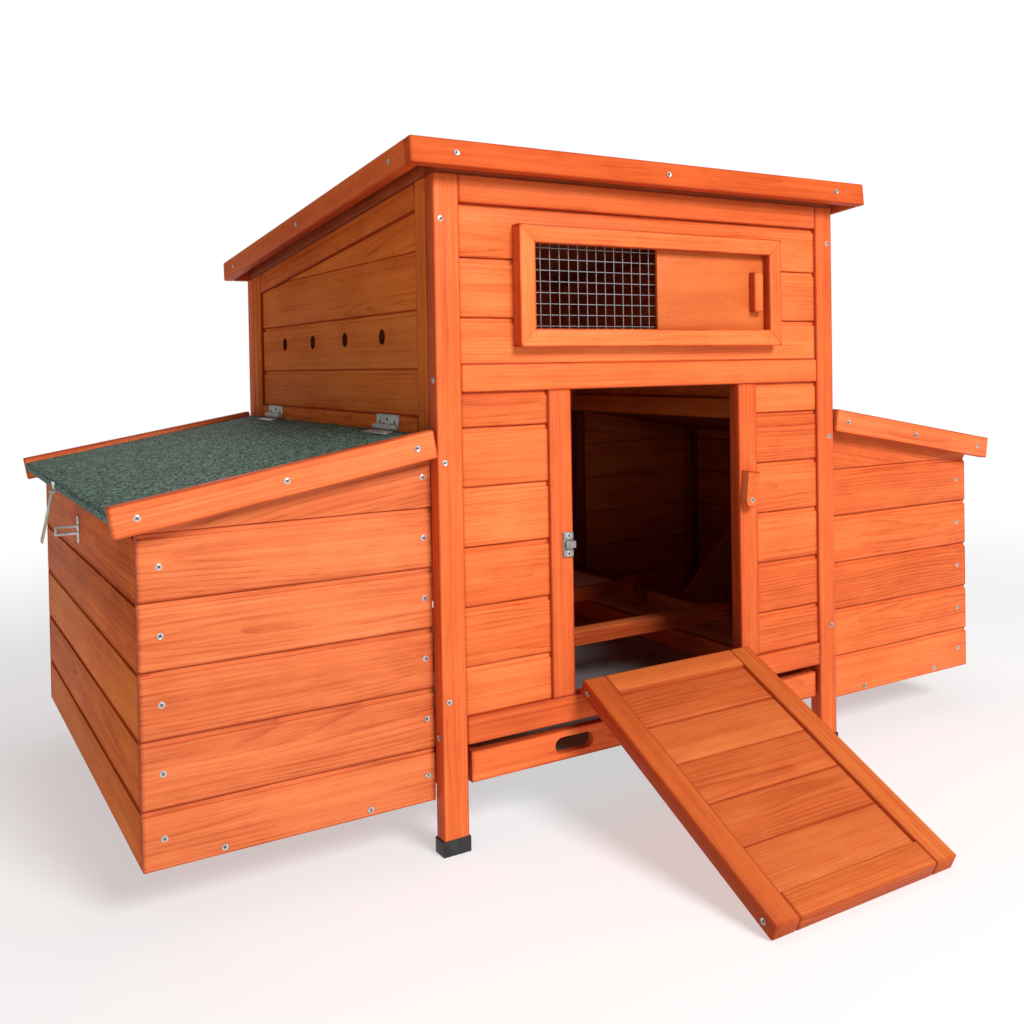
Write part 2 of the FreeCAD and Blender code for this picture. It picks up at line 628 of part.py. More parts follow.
def make_lids():
    """Both lids, with the wall leaves that belong to the house and the leaves that lift with the lid."""
    radius = "knuckle_size / 2"
    wall_leaves = []
    lid_leaves = []
    for number, side in enumerate((-1, 1)):
        middle = f"(({LID_FRONT} + {LID_REAR}) / 2 + {side} * hinge_spacing / 2)"
        half = "hinge_length / 2"
        along = (f"0 - {half}", half)
        plate = block(f"wall_leaf_plate_{number}", ("pin_offset - leaf_thick", "pin_offset"), along,
                      (0, "leaf_reach"))
        gaps = knuckle_notches(f"wall_leaf_{number}", "z", 1)
        fixed = fuse(f"wall_leaf_{number}", cut(f"wall_leaf_body_{number}", plate, *gaps),
                     *knuckles(f"wall_{number}", "y", "hinge_length", 5, 0, radius),
                     hinge_pin(f"wall_{number}", "y", "hinge_length"))
        wall_leaves.append(place(group(f"wall_leaf_set_{number}", [fixed]), f"0 - {PIN_X}", middle,
                                 "pin_height"))
        plate = block(f"lid_leaf_plate_{number}", ("0 - leaf_reach - leaf_thick", 0), along,
                      ("0 - pin_offset", "0 - pin_offset + leaf_thick"))
        gaps = knuckle_notches(f"lid_leaf_{number}", "x", 0)
        body = fuse(f"lid_leaf_{number}", cut(f"lid_leaf_body_{number}", plate, *gaps),
                    *knuckles(f"lid_{number}", "y", "hinge_length", 5, 1, radius))
        moving = cut(f"lid_leaf_bored_{number}", body, pin_bore(f"lid_{number}", "y", "hinge_length"))
        lid_leaves.append(place(group(f"lid_leaf_set_{number}", [moving]), 0, middle, 0))
    keep_pair("lid_wall_leaves", wall_leaves)

    def lifted(name, items):
        return turned(name, items, Y_AXIS, "0 - lid_slope", x=f"0 - {PIN_X}", z="pin_height")

    near = f"({LID_FRONT} + batten_thick)"
    far = f"({LID_REAR} - batten_thick)"
    felt_top = "(0 - pin_offset)"
    board_top = f"({felt_top} - felt_thick)"
    inner_gap = "(lid_seat_gap * 5)"
    keep_both("lid_board", [lifted("lid_board_slope", [
        block("lid_panel", ("0 - lid_length + felt_thick", inner_gap), (near, far),
              (LID_UNDER, board_top))])])
    sheet_top = block("lid_felt_sheet", ("0 - lid_length", inner_gap), (near, far), (board_top, felt_top))
    sheet_end = block("lid_felt_fold", ("0 - lid_length", "0 - lid_length + felt_thick"), (near, far),
                      (LID_UNDER, board_top))
    keep_both("lid_felt", [lifted("lid_felt_slope", [fuse("lid_felt_folded", sheet_top, sheet_end)])])
    batten_top = "(batten_proud - pin_offset)"
    upright = (f"{batten_top} - batten_height", batten_top)
    run = ("0 - lid_length", f"0 - {inner_gap}")
    keep_both("lid_battens", [lifted("lid_battens_slope", [
        block("front_batten", run, (LID_FRONT, near), upright),
        block("rear_batten", run, (far, LID_REAR), upright)])])
    keep_both("lid_metalwork", [lifted("lid_metalwork_slope", lid_leaves + [hasp_hanger()])])


def knuckle_notches(name, reach, parity):
    """Clearance in a leaf's edge for the other leaf's knuckles."""
    notches = []
    size = "(knuckle_size / 2 + knuckle_gap)"
    for number in range(parity, 5, 2):
        start = f"(0 - hinge_length / 2 + {number} * hinge_length / 5)"
        y = (f"{start} - knuckle_gap / 2", f"{start} + hinge_length / 5 + knuckle_gap / 2")
        wide = "(2 * pin_offset)"
        x = (f"0 - {wide}", wide) if reach == "z" else (f"0 - {size}", wide)
        z = (f"0 - {wide}", wide) if reach == "x" else (f"0 - {wide}", size)
        notches.append(block(f"{name}_notch_{number}", x, y, z))
    return notches


# ---------------------------------------------------------------- hasps
STRAP_THIRD = "(strap_width / 3)"
HASP_X = "(0 - lid_length - strap_knuckle / 2 - strap_thick)"       # the strap's pin, in the lid's own frame
HASP_Z = f"({LID_UNDER} - strap_knuckle / 2)"


def hasp_hanger():
    """The plate on the lid's outer edge that the strap hangs from."""
    plate = block("hasp_plate_body", ("0 - lid_length - strap_thick", "0 - lid_length"),
                  ("hasp_place - strap_width / 2", "hasp_place + strap_width / 2"),
                  (LID_UNDER, "0 - pin_offset - 1"))
    lugs = []
    for number, side in enumerate((-1, 1)):
        start = f"hasp_place + {side} * {STRAP_THIRD} - {STRAP_THIRD} / 2"
        lugs.append(rod(f"hasp_lug_{number}", (HASP_X, start, HASP_Z), "strap_knuckle / 2", STRAP_THIRD, "y"))
        lugs.append(block(f"hasp_web_{number}", (HASP_X, "0 - lid_length"),
                          (start, f"{start} + {STRAP_THIRD}"),
                          (HASP_Z, f"{LID_UNDER}")))
    pin = rod("hasp_pin", (HASP_X, "hasp_place - strap_width / 2", HASP_Z), "strap_knuckle / 5",
              "strap_width", "y")
    return fuse("hasp_hanger", plate, pin, *lugs)


def make_hasps():
    """A strap under each lid's outer edge, and its staple on the nest box's end."""
    radius = "strap_knuckle / 2"
    pin_x = f"(0 - {PIN_X} + {HASP_X} * cos(lid_slope) - {HASP_Z} * sin(lid_slope))"
    pin_z = f"(pin_height + {HASP_X} * sin(lid_slope) + {HASP_Z} * cos(lid_slope))"
    middle = f"{STRAP_THIRD} - 2 * knuckle_gap"
    eye = rod("strap_eye", (0, f"0 - ({middle}) / 2", 0), radius, middle, "y")
    blade = block("strap_blade", ("0 - strap_thick / 2", "strap_thick / 2"),
                  ("0 - strap_width / 2", "strap_width / 2"),
                  ("0 - strap_length", f"0 - {radius} - knuckle_gap"))
    neck = block("strap_neck", ("0 - strap_thick / 2", "strap_thick / 2"),
                 (f"0 - ({middle}) / 2", f"({middle}) / 2"),
                 (f"0 - {radius} - knuckle_gap - 1", 0))
    slot = block("strap_slot", ("0 - strap_width", "strap_width"),
                 ("0 - strap_slot_width / 2", "strap_slot_width / 2"),
                 ("0 - strap_length + strap_slot_margin",
                  "0 - strap_length + strap_slot_margin + strap_slot_length"))
    bore = rod("strap_bore", (0, "0 - strap_width", 0), "strap_knuckle / 5 + pin_clearance",
               "2 * strap_width", "y")
    strap = cut("strap_open", fuse("strap_body", eye, blade, neck), slot, bore)
    keep_both("hasp_strap", [turned("strap_hang", [strap], Y_AXIS, "strap_tilt", x=pin_x, y="hasp_place",
                                    z=pin_z)])

    eye_z = f"({pin_z} - strap_length + strap_slot_margin + strap_slot_length / 2)"
    tip = f"({pin_x} + strap_thick)"
    wall = f"(0 - {NEST_END})"
    low = f"{eye_z} - staple_height / 2"
    mount = block("staple_plate_body", (f"{wall} - leaf_thick", wall),
                  ("hasp_place - staple_plate_width / 2", "hasp_place + staple_plate_width / 2"),
                  (f"{eye_z} - staple_plate / 2", f"{eye_z} + staple_plate / 2"))
    lower = block("staple_lower", (tip, wall),
                  ("hasp_place - staple_wire / 2", "hasp_place + staple_wire / 2"),
                  (low, f"{low} + staple_wire"))
    upper = block("staple_upper", (tip, wall),
                  ("hasp_place - staple_wire / 2", "hasp_place + staple_wire / 2"),
                  (f"{low} + staple_height - staple_wire", f"{low} + staple_height"))
    nose = block("staple_nose", (tip, f"{tip} + staple_wire"),
                 ("hasp_place - staple_wire / 2", "hasp_place + staple_wire / 2"),
                 (low, f"{low} + staple_height"))
    keep_pair("staples", [fuse("staple_piece", mount, lower, upper, nose)])


# ---------------------------------------------------------------- ramp
def make_ramp():
    """The ramp in its hinge's frame, as if closed, then turned down until its end meets the ground."""
    half = f"({RAMP_WIDTH} / 2)"
    face = "ramp_pin_offset"
    back = "(ramp_pin_offset + ramp_thick)"
    inner = f"({half} - ramp_stile_width)"

    def lowered(name, items):
        return turned(name, items, X_AXIS, f"90 deg + {RAMP_TILT}", y="0 - ramp_pin_offset", z=RAMP_PIN_Z)

    depth = (face, back)
    stiles = [block("ramp_left_stile", (f"0 - {half}", f"0 - {inner}"), depth, (RAMP_FOOT, RAMP_HEAD)),
              block("ramp_right_stile", (inner, half), depth, (RAMP_FOOT, RAMP_HEAD))]
    keep("ramp_stiles", [lowered("ramp_stiles_down", stiles)])
    across = (f"0 - {inner}", inner)
    rails = [block("ramp_far_rail", across, depth, (f"{RAMP_HEAD} - ramp_rail_width", RAMP_HEAD)),
             block("ramp_near_rail", across, depth, (RAMP_FOOT, f"{RAMP_FOOT} + ramp_rail_width"))]
    keep("ramp_rails", [lowered("ramp_rails_down", rails)])
    step = f"(({RAMP_HEAD} - {RAMP_FOOT} - 2 * ramp_rail_width) / ramp_board_count)"
    boards = []
    for number in range(SIZES["ramp_board_count"]):
        low = f"({RAMP_FOOT} + ramp_rail_width + {number} * {step})"
        boards.append(block(f"ramp_board_{number}", across,
                            (f"{back} - ramp_board_inset - ramp_board_thick", f"{back} - ramp_board_inset"),
                            (low, f"{low} + {step}")))
    keep("ramp_boards", [lowered("ramp_boards_down", boards)])

    radius = "(ramp_pin_offset - knuckle_gap)"
    fixed = []
    moving = []
    for number, side in enumerate((-1, 1)):
        middle = f"({side} * ({half} - ramp_hinge_margin))"
        spread = ("0 - ramp_hinge_length / 2", "ramp_hinge_length / 2")
        leaf = block(f"sill_leaf_plate_{number}", spread, ("ramp_pin_offset - leaf_thick", "ramp_pin_offset"),
                     ("0 - leaf_reach", f"0 - {radius} - knuckle_gap"))
        own = knuckles(f"sill_{number}", "x", "ramp_hinge_length", 3, 0, radius)
        necks = hinge_necks(f"sill_neck_{number}", 0, ("ramp_pin_offset - leaf_thick", "ramp_pin_offset"),
                            -1, radius)
        body = fuse(f"sill_leaf_{number}", leaf, hinge_pin(f"sill_{number}", "x", "ramp_hinge_length"),
                    *own, *necks)
        fixed.append(place(group(f"sill_leaf_set_{number}", [body]), middle, "0 - ramp_pin_offset",
                           RAMP_PIN_Z))
        leaf = block(f"ramp_leaf_plate_{number}", spread, ("ramp_pin_offset - leaf_thick", "ramp_pin_offset"),
                     (f"{radius} + knuckle_gap", "leaf_reach"))
        own = knuckles(f"ramp_{number}", "x", "ramp_hinge_length", 3, 1, radius)
        necks = hinge_necks(f"ramp_neck_{number}", 1, ("ramp_pin_offset - leaf_thick", "ramp_pin_offset"),
                            1, radius)
        body = fuse(f"ramp_leaf_{number}", leaf, *own, *necks)
        bored = cut(f"ramp_leaf_bored_{number}", body, pin_bore(f"ramp_{number}", "x", "ramp_hinge_length"))
        moving.append(place(group(f"ramp_leaf_set_{number}", [bored]), middle, 0, 0))
    keep("ramp_sill_leaves", fixed)
    keep("ramp_leaves", [lowered("ramp_leaves_down", moving)])
    screws = [head(f"ramp_screw_{number}", f"0 - {half}", f"{face} + ramp_thick / 2", z, "-x")
              for number, z in enumerate((f"{RAMP_FOOT} + ramp_rail_width / 2",
                                          f"{RAMP_HEAD} - ramp_rail_width / 2"))]
    left = group("ramp_left_screws", screws)
    keep("ramp_screws", [lowered("ramp_screws_down", [left, mirrored("ramp_right_screws", left)])])


def hinge_necks(name, parity, y, way, radius):
    """The strips that join a leaf to its own knuckles."""
    necks = []
    third = "(ramp_hinge_length / 3)"
    for number in range(parity, 3, 2):
        start = f"(0 - ramp_hinge_length / 2 + {number} * {third})"
        x = (f"{start} + knuckle_gap / 2", f"{start} + {third} - knuckle_gap / 2")
        z = ("0", f"{radius} + 2 * knuckle_gap") if way > 0 else (f"0 - {radius} - 2 * knuckle_gap", "0")
        necks.append(block(f"{name}_{number}", x, y, z))
    return necks


# ---------------------------------------------------------------- tray
def make_tray():
    half = f"({INNER} - tray_side_gap)"
    front = (BOARD_FACE, f"{BOARD_FACE} + tray_board_thick")
    top = "(tray_bottom + tray_height)"
    across = (f"0 - {half}", half)
    back = f"({REAR_LEG_FRONT} - tray_back_gap)"
    face = block("tray_face", across, front, ("tray_bottom", top))
    slot_z = "(tray_bottom + tray_height / 2)"
    straight = "((slot_width - slot_height) / 2)"
    slot = block("tray_slot_middle", (f"0 - slot_place - {straight}", f"0 - slot_place + {straight}"),
                 (0, "2 * leg_depth"), (f"{slot_z} - slot_height / 2", f"{slot_z} + slot_height / 2"))
    ends = [rod(f"tray_slot_end_{number}", (f"0 - slot_place + {side} * {straight}", 0, slot_z),
                "slot_height / 2",
                "2 * leg_depth", "y") for number, side in enumerate((-1, 1))]
    keep("tray_front", [cut("tray_face_open", face, slot, *ends)])
    pan_bottom = ("tray_bottom", "tray_bottom + tray_pan_thick")
    keep("tray_pan", [block("tray_sheet", across, (front[1], back), pan_bottom)])
    sides = (front[1], back)
    above = (pan_bottom[1], top)
    rim = [block("tray_left_side", (f"0 - {half}", f"0 - {half} + tray_board_thick"), sides, above),
           block("tray_right_side", (f"{half} - tray_board_thick", half), sides, above),
           block("tray_back_side", (f"0 - {half} + tray_board_thick", f"{half} - tray_board_thick"),
                 (f"{back} - tray_board_thick", back), above)]
    keep("tray_sides", rim)
    runner_top = "(tray_bottom - tray_seat_gap)"
    runner = block("left_runner", (f"0 - {HALF} + leg_depth", f"0 - {HALF} + leg_depth + 2 * runner_width"),
                   ("leg_depth + runner_setback", REAR_LEG_FRONT),
                   (f"{runner_top} - runner_height", runner_top))
    keep("tray_runners", [runner, mirrored("right_runner", runner)])


# ---------------------------------------------------------------- perches
def make_perches():
    sill_face = f"({HALF} - leg_depth)"
    brackets = []
    for name in ("front", "rear"):
        middle = f"{name}_perch_place"
        half = "(perch_width / 2)"
        reach = f"({sill_face} - perch_end_gap)"
        perch = block(f"{name}_perch_bar", (f"0 - {reach}", reach),
                      (f"{middle} - {half}", f"{middle} + {half}"),
                      ("perch_bottom", "perch_bottom + perch_height"))
        keep(f"{name}_perch", [perch])
        blank = block(f"{name}_bracket_block", (f"0 - {sill_face}", f"0 - {sill_face} + bracket_thick"),
                      (f"{middle} - {half} - bracket_cheek", f"{middle} + {half} + bracket_cheek"),
                      ("perch_bottom - bracket_base", "perch_bottom + bracket_lip"))
        seat = block(f"{name}_bracket_seat", (f"0 - {sill_face} - 1", f"0 - {sill_face} + bracket_thick + 1"),
                     (f"{middle} - {half} - perch_gap", f"{middle} + {half} + perch_gap"),
                     ("perch_bottom - perch_gap", "perch_bottom + perch_height"))
        bracket = cut(f"{name}_bracket", blank, seat)
        brackets += [bracket, mirrored(f"{name}_bracket_twin", bracket)]
    keep("perch_brackets", brackets)


# ---------------------------------------------------------------- door fittings
def make_fittings():
    radius = "button_width / 2"
    front = "0 - button_gap - button_thick"
    bar = block("button_bar", (f"0 - {radius}", radius), (front, "0 - button_gap"),
                (0, f"button_height - {radius}"))
    end = rod("button_end", (0, front, 0), radius, "button_thick", "y")
    bore = rod("button_bore", (0, f"{front} - 1", 0), "pin_size / 2 + pin_clearance", "button_thick + 2", "y")
    button = cut("button_bored", fuse("button_piece", bar, end), bore)
    keep("turn_button", [turned("button_hang", [button], Y_AXIS, "button_tilt",
                                x=BUTTON_X, z="button_pivot")])
    screw = rod("button_screw_shank", (0, f"{front} - screw_proud", 0), "pin_size / 2",
                "button_thick + button_gap + screw_proud", "y")
    cap = rod("button_screw_head", (0, f"{front} - screw_proud - pin_clearance", 0), "screw_head / 2",
              "screw_proud", "y")
    pivot = place(group("button_screw_set", [fuse("button_screw_piece", screw, cap)]), BUTTON_X, 0,
                  "button_pivot")

    post_edge = f"(0 - {DOOR_HALF})"
    left = f"({post_edge} - catch_width - leaf_thick)"
    right = f"({post_edge} - leaf_thick)"
    plate = block("catch_plate", (left, right), ("0 - leaf_thick", 0),
                  ("catch_height - catch_length / 2", "catch_height + catch_length / 2"))
    bolt = block("catch_body", (f"{left} + 3", right), ("0 - 5 * leaf_thick", "0 - leaf_thick"),
                 ("catch_height - catch_length / 6", "catch_height + catch_length / 6"))
    keep("door_fittings", [pivot, fuse("catch_piece", plate, bolt)])


# ---------------------------------------------------------------- screws
def make_screws():
    frame = []
    leg_x = f"(0 - {HALF} + 10)"
    for number, z in enumerate(("front_height - 58", "header_bottom - 88", "sill_top + 24")):
        frame.append(head(f"leg_screw_{number}", leg_x, 0, z, "-y"))
    for number, z in enumerate((f"{HEADER_TOP} - 20", f"{SILL_BOTTOM} + 14")):
        frame.append(head(f"leg_side_screw_{number}", f"0 - {HALF}", "leg_depth * 0.4", z, "-x"))

    nest = []
    for row, (low, _) in enumerate(rows("nest_bottom", "first_nest_row", 6)):
        height = "first_nest_row" if row == 0 else "board_pitch"
        z = f"{low} + ({height}) / 2"
        if row < 5:
            nest.append(head(f"nest_outer_screw_{row}", f"0 - {NEST_END} + board_thick + cleat_size / 2",
                             NEST_FRONT, z, "-y"))
        nest.append(head(f"nest_inner_screw_{row}", f"0 - {HALF} - cleat_size / 2", NEST_FRONT, z, "-y"))
    for number, share in enumerate((0.25, 0.75)):
        nest.append(head(f"nest_floor_screw_{number}", f"0 - {HALF} - {share} * nest_reach", NEST_FRONT,
                         "nest_bottom + board_thick / 2 + 2", "-y"))

    heads = []
    middle = "fascia_height / 2"
    half = f"({HALF} + roof_side_overhang)"
    for number, share in enumerate((-0.945, 0, 0.945)):
        heads.append(head(f"fascia_screw_{number}", f"{share} * {HALF}", "0 - roof_front_overhang", middle,
                          "-y"))
    side = []
    for number, share in enumerate((0.04, 0.49, 0.93)):
        side.append(head(f"side_fascia_screw_{number}", f"0 - {half}", f"{share} * house_depth", middle,
                         "-x"))
    side_group = group("side_fascia_screws", side)
    heads += [side_group, mirrored("side_fascia_screws_twin", side_group)]
    roof = turned("roof_screws_slope", heads, X_AXIS, f"-{ROOF_SLOPE}", z="front_height")
    sides = group("side_screws", frame + nest)
    keep("house_screws", [sides, mirrored("side_screws_twin", sides), roof])

    lid = []
    for number, share in enumerate((0.07, 0.5, 0.93)):
        lid.append(head(f"lid_screw_{number}", f"0 - {share} * lid_length", LID_FRONT,
                        "batten_proud - pin_offset - batten_height / 2", "-y"))
    keep_both("lid_screws", [turned("lid_screws_slope", lid, Y_AXIS, "0 - lid_slope", x=f"0 - {PIN_X}",
                                    z="pin_height")])


make_frame()
make_front_boards()
make_window()
make_gables()
make_roof()
make_nests()
make_lids()
make_hasps()
make_ramp()
make_tray()
make_perches()
make_fittings()
make_screws()
doc.recompute()

# ---------------------------------------------------------------- checks, then the files
failed = [item.Label for item in doc.Objects if "Invalid" in item.State or "Error" in item.State]
if failed:
    raise SystemExit(f"objects that failed: {failed}")
for node in nodes:
    if node.Shape.isNull() or not node.Shape.isValid() or not node.Shape.Solids:
        raise SystemExit(f"no valid shape: {node.Label}")

os.makedirs("parts", exist_ok=True)
for node in nodes:
    node.Shape.exportStep(f"parts/{node.Label}.step")

whole = FreeCAD.BoundBox()
for node in nodes:
    whole.add(node.Shape.BoundBox)
print(f"{len(nodes)} nodes, {sum(len(node.Shape.Solids) for node in nodes)} solids")
print(f"X {whole.XMin:.2f} {whole.XMax:.2f}  Y {whole.YMin:.2f} {whole.YMax:.2f}"
      f"  Z {whole.ZMin:.2f} {whole.ZMax:.2f}")
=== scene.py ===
"""Raised chicken coop: stained boards, green mineral felt and zinc fittings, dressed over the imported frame.

Each timber node is copied, its arrises are eased, and every board gets its own place in the log, so
that grain runs along it and its tone is its own. Fittings get their screws, and felt its granules.
"""

import json
import math
import random

import bmesh
import bpy
from mathutils import Matrix, Vector, noise


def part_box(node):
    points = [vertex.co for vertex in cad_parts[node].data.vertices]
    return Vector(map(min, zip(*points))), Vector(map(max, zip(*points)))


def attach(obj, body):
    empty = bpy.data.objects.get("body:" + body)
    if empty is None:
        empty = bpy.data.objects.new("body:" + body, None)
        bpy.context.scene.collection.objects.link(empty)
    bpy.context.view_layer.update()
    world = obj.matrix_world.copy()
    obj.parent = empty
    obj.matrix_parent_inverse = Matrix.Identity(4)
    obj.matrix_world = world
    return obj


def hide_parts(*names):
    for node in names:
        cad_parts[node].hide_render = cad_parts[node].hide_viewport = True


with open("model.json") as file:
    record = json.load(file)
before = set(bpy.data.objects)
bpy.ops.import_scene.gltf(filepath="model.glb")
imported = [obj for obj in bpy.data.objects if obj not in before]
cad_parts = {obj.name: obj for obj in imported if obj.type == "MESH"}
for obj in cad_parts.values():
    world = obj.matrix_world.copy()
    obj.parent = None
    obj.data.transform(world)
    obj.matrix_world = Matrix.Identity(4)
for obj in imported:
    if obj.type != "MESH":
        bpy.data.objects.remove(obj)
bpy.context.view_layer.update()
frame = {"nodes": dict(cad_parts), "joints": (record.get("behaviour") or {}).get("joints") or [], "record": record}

MM = 0.001
UP = Vector((0, 0, 1))
FRONTWARD = Vector((0, -1, 0))
BODY_OF = {node: body for body, nodes in frame["record"]["behaviour"]["bodies"].items() for node in nodes}
SLOT_OF = {part["node"]: part["material_slot"] for part in frame["record"]["subparts"]}


# ---------------------------------------------------------------- finishes
class Value:
    """A socket of a finish that takes part in plain arithmetic."""

    def __init__(self, finish, socket):
        self.finish = finish
        self.socket = socket

    def maths(self, operation, *terms):
        return self.finish.node("ShaderNodeMath", {"operation": operation}, dict(enumerate(terms)))

    def out(self, name):
        return Value(self.finish, self.socket.node.outputs[name])

    def __add__(self, other):
        return self.maths("ADD", self, other)

    def __sub__(self, other):
        return self.maths("SUBTRACT", self, other)

    def __rsub__(self, other):
        return self.maths("SUBTRACT", other, self)

    def __mul__(self, other):
        return self.maths("MULTIPLY", self, other)

    def __pow__(self, other):
        return self.maths("POWER", self, other)

    __radd__ = __add__
    __rmul__ = __mul__


class Finish:
    """A material that is built up node by node."""

    def __init__(self, name):
        self.material = bpy.data.materials.new(name)
        self.material.use_nodes = True
        self.tree = self.material.node_tree
        self.tree.nodes.clear()

    def node(self, kind, settings=None, inputs=None):
        """Adds a node; a ramp's stops are (position, colour) pairs."""
        made = self.tree.nodes.new(kind)
        for key, setting in (settings or {}).items():
            if key == "stops":
                self.set_stops(made.color_ramp, setting)
            else:
                setattr(made, key, setting)
        for key, given in (inputs or {}).items():
            if isinstance(given, Value):
                self.tree.links.new(given.socket, made.inputs[key])
            else:
                made.inputs[key].default_value = given
        shown = [socket for socket in made.outputs if socket.enabled]
        return Value(self, shown[0]) if shown else None

    @staticmethod
    def set_stops(ramp, stops):
        while len(ramp.elements) < len(stops):
            ramp.elements.new(1.0)
        for element, (position, colour) in zip(ramp.elements, stops):
            element.position = position
            element.color = (*colour, 1.0)

    def attribute(self, name, output="Fac"):
        return self.node("ShaderNodeAttribute", {"attribute_name": name}).out(output)

    def stretched(self, place, stretch):
        return self.node("ShaderNodeVectorMath", {"operation": "MULTIPLY"}, {0: place, 1: stretch})

    def clouds(self, place, stretch, detail=3.0, rough=0.55):
        """Noise from 0 to 1; the stretch gives its lumps per metre each way."""
        inputs = {"Vector": self.stretched(place, stretch), "Scale": 1.0, "Detail": detail,
                  "Roughness": rough}
        return self.node("ShaderNodeTexNoise", None, inputs).out("Fac")

    def blend(self, share, first, second):
        """Mixes two colours; the node's sockets 0, 6 and 7 are the share and the colours."""
        inputs = {0: share, 6: first, 7: second}
        return self.node("ShaderNodeMix", {"data_type": "RGBA", "blend_type": "MIX"}, inputs).out(2)

    def band(self, value, low, high):
        """0 below low and 1 above high, with a smooth step between."""
        inputs = {"Value": value, "From Min": low, "From Max": high}
        return self.node("ShaderNodeMapRange", {"interpolation_type": "SMOOTHSTEP"}, inputs)

    def relief(self, height, strength, depth):
        inputs = {"Height": height, "Strength": strength, "Distance": depth}
        return self.node("ShaderNodeBump", None, inputs)

    def done(self, **inputs):
        """Closes the finish with its surface; underscores in the names stand for spaces."""
        given = {key.replace("_", " "): value for key, value in inputs.items()}
        surface = self.node("ShaderNodeBsdfPrincipled", None, given)
        self.node("ShaderNodeOutputMaterial", None, {"Surface": surface})
        return self.material


def stained_timber(name, pale, middle, deep, rings=1.0, tone=0.0, gloss=0.10):
    """Softwood under a translucent stain: growth rings, fibres, flecks and a tone for each board."""
    f = Finish(name)
    place = f.attribute("place", "Vector")
    half = f.attribute("half", "Vector")
    board = f.attribute("board")
    shift = f.node("ShaderNodeCombineXYZ", None, {"X": board * 9.0, "Y": board * 3.7, "Z": board * 5.3})
    log = f.node("ShaderNodeVectorMath", {"operation": "ADD"}, {0: place, 1: shift})

    drift = f.clouds(log, (1.5, 7.0, 7.0), 2.0)
    fibres = f.clouds(log, (14.0, 640.0, 640.0), 2.0, 0.6)
    streaks = f.clouds(log, (1.9, 190.0, 190.0), 4.0, 0.62)
    bands = f.clouds(log, (1.3, 38.0, 38.0), 2.0)
    blotches = f.clouds(log, (7.0, 16.0, 16.0), 3.0)
    cloudy = f.clouds(log, (34.0, 60.0, 60.0), 2.0)
    sides = f.node("ShaderNodeSeparateXYZ", None, {"Vector": place})
    across = sides.out("Y") + (board - 0.5) * 0.14
    through = sides.out("Z") + board * 0.05 + 0.012
    radius = (across * across + through * through) ** 0.5
    growth = radius * 250.0 + drift * 10.0 + streaks * 0.30
    ring = growth.maths("FRACT", growth) ** 3.6
    shown = f.band(blotches, 0.36, 0.58) * rings
    fleck = f.band(f.clouds(log, (26.0, 430.0, 430.0), 1.0), 0.69, 0.77)

    inset = f.node("ShaderNodeVectorMath", {"operation": "ABSOLUTE"}, {0: place})
    rim = f.node("ShaderNodeSeparateXYZ", None,
                 {"Vector": f.node("ShaderNodeVectorMath", {"operation": "SUBTRACT"}, {0: half, 1: inset})})
    # Darker along each board's long edges: stain pooled there, and painted shade for the seams between boards.
    seam_stain_and_shade = 1.0 - f.band(rim.out("Y"), 0.0006, 0.0030)
    sawn = 1.0 - f.band(rim.out("X"), 0.0005, 0.0045)

    depth = (0.47 + tone + (board - 0.5) * 0.30 + (streaks - 0.5) * 0.62 + (fibres - 0.5) * 0.42
             + (bands - 0.5) * 0.42 + (blotches - 0.5) * 0.34 + (cloudy - 0.5) * 0.16
             + ring * shown * 0.27 + seam_stain_and_shade * 0.40 + sawn * 0.26 + fleck * 0.18)
    stops = [(0.08, pale), (0.50, middle), (1.0, deep)]
    colour = f.node("ShaderNodeValToRGB", {"stops": stops}, {"Fac": depth})
    height = streaks * 0.4 + fibres * 0.5 - ring * shown * 0.35 - fleck * 0.7
    rough = 0.50 + (fibres - 0.5) * 0.2 + sawn * 0.15
    return f.done(Base_Color=colour, Roughness=rough, Normal=f.relief(height, 0.36, 0.0006),
                  Specular_IOR_Level=gloss)


def thin_plywood(name, pale, deep):
    """A rotary-cut face: short pores along the sheet and a calm, even tone."""
    f = Finish(name)
    board = f.attribute("board")
    place = f.attribute("place", "Vector")
    pores = f.clouds(place, (95.0, 900.0, 900.0), 2.0, 0.65)
    waves = f.clouds(place, (4.0, 34.0, 34.0), 4.0, 0.6)
    sheet = f.clouds(place, (9.0, 9.0, 9.0), 2.0)
    share = 0.42 + (pores - 0.5) * 0.9 + (waves - 0.5) * 1.1 + (sheet - 0.5) * 0.6 + board * 0.1
    colour = f.node("ShaderNodeValToRGB", {"stops": [(0.1, pale), (0.95, deep)]}, {"Fac": share})
    return f.done(Base_Color=colour, Roughness=0.5 + (pores - 0.5) * 0.2, Specular_IOR_Level=0.18,
                  Normal=f.relief(pores + waves, 0.25, 0.0004))


GRANULES = 400.0             # granules in a metre of felt


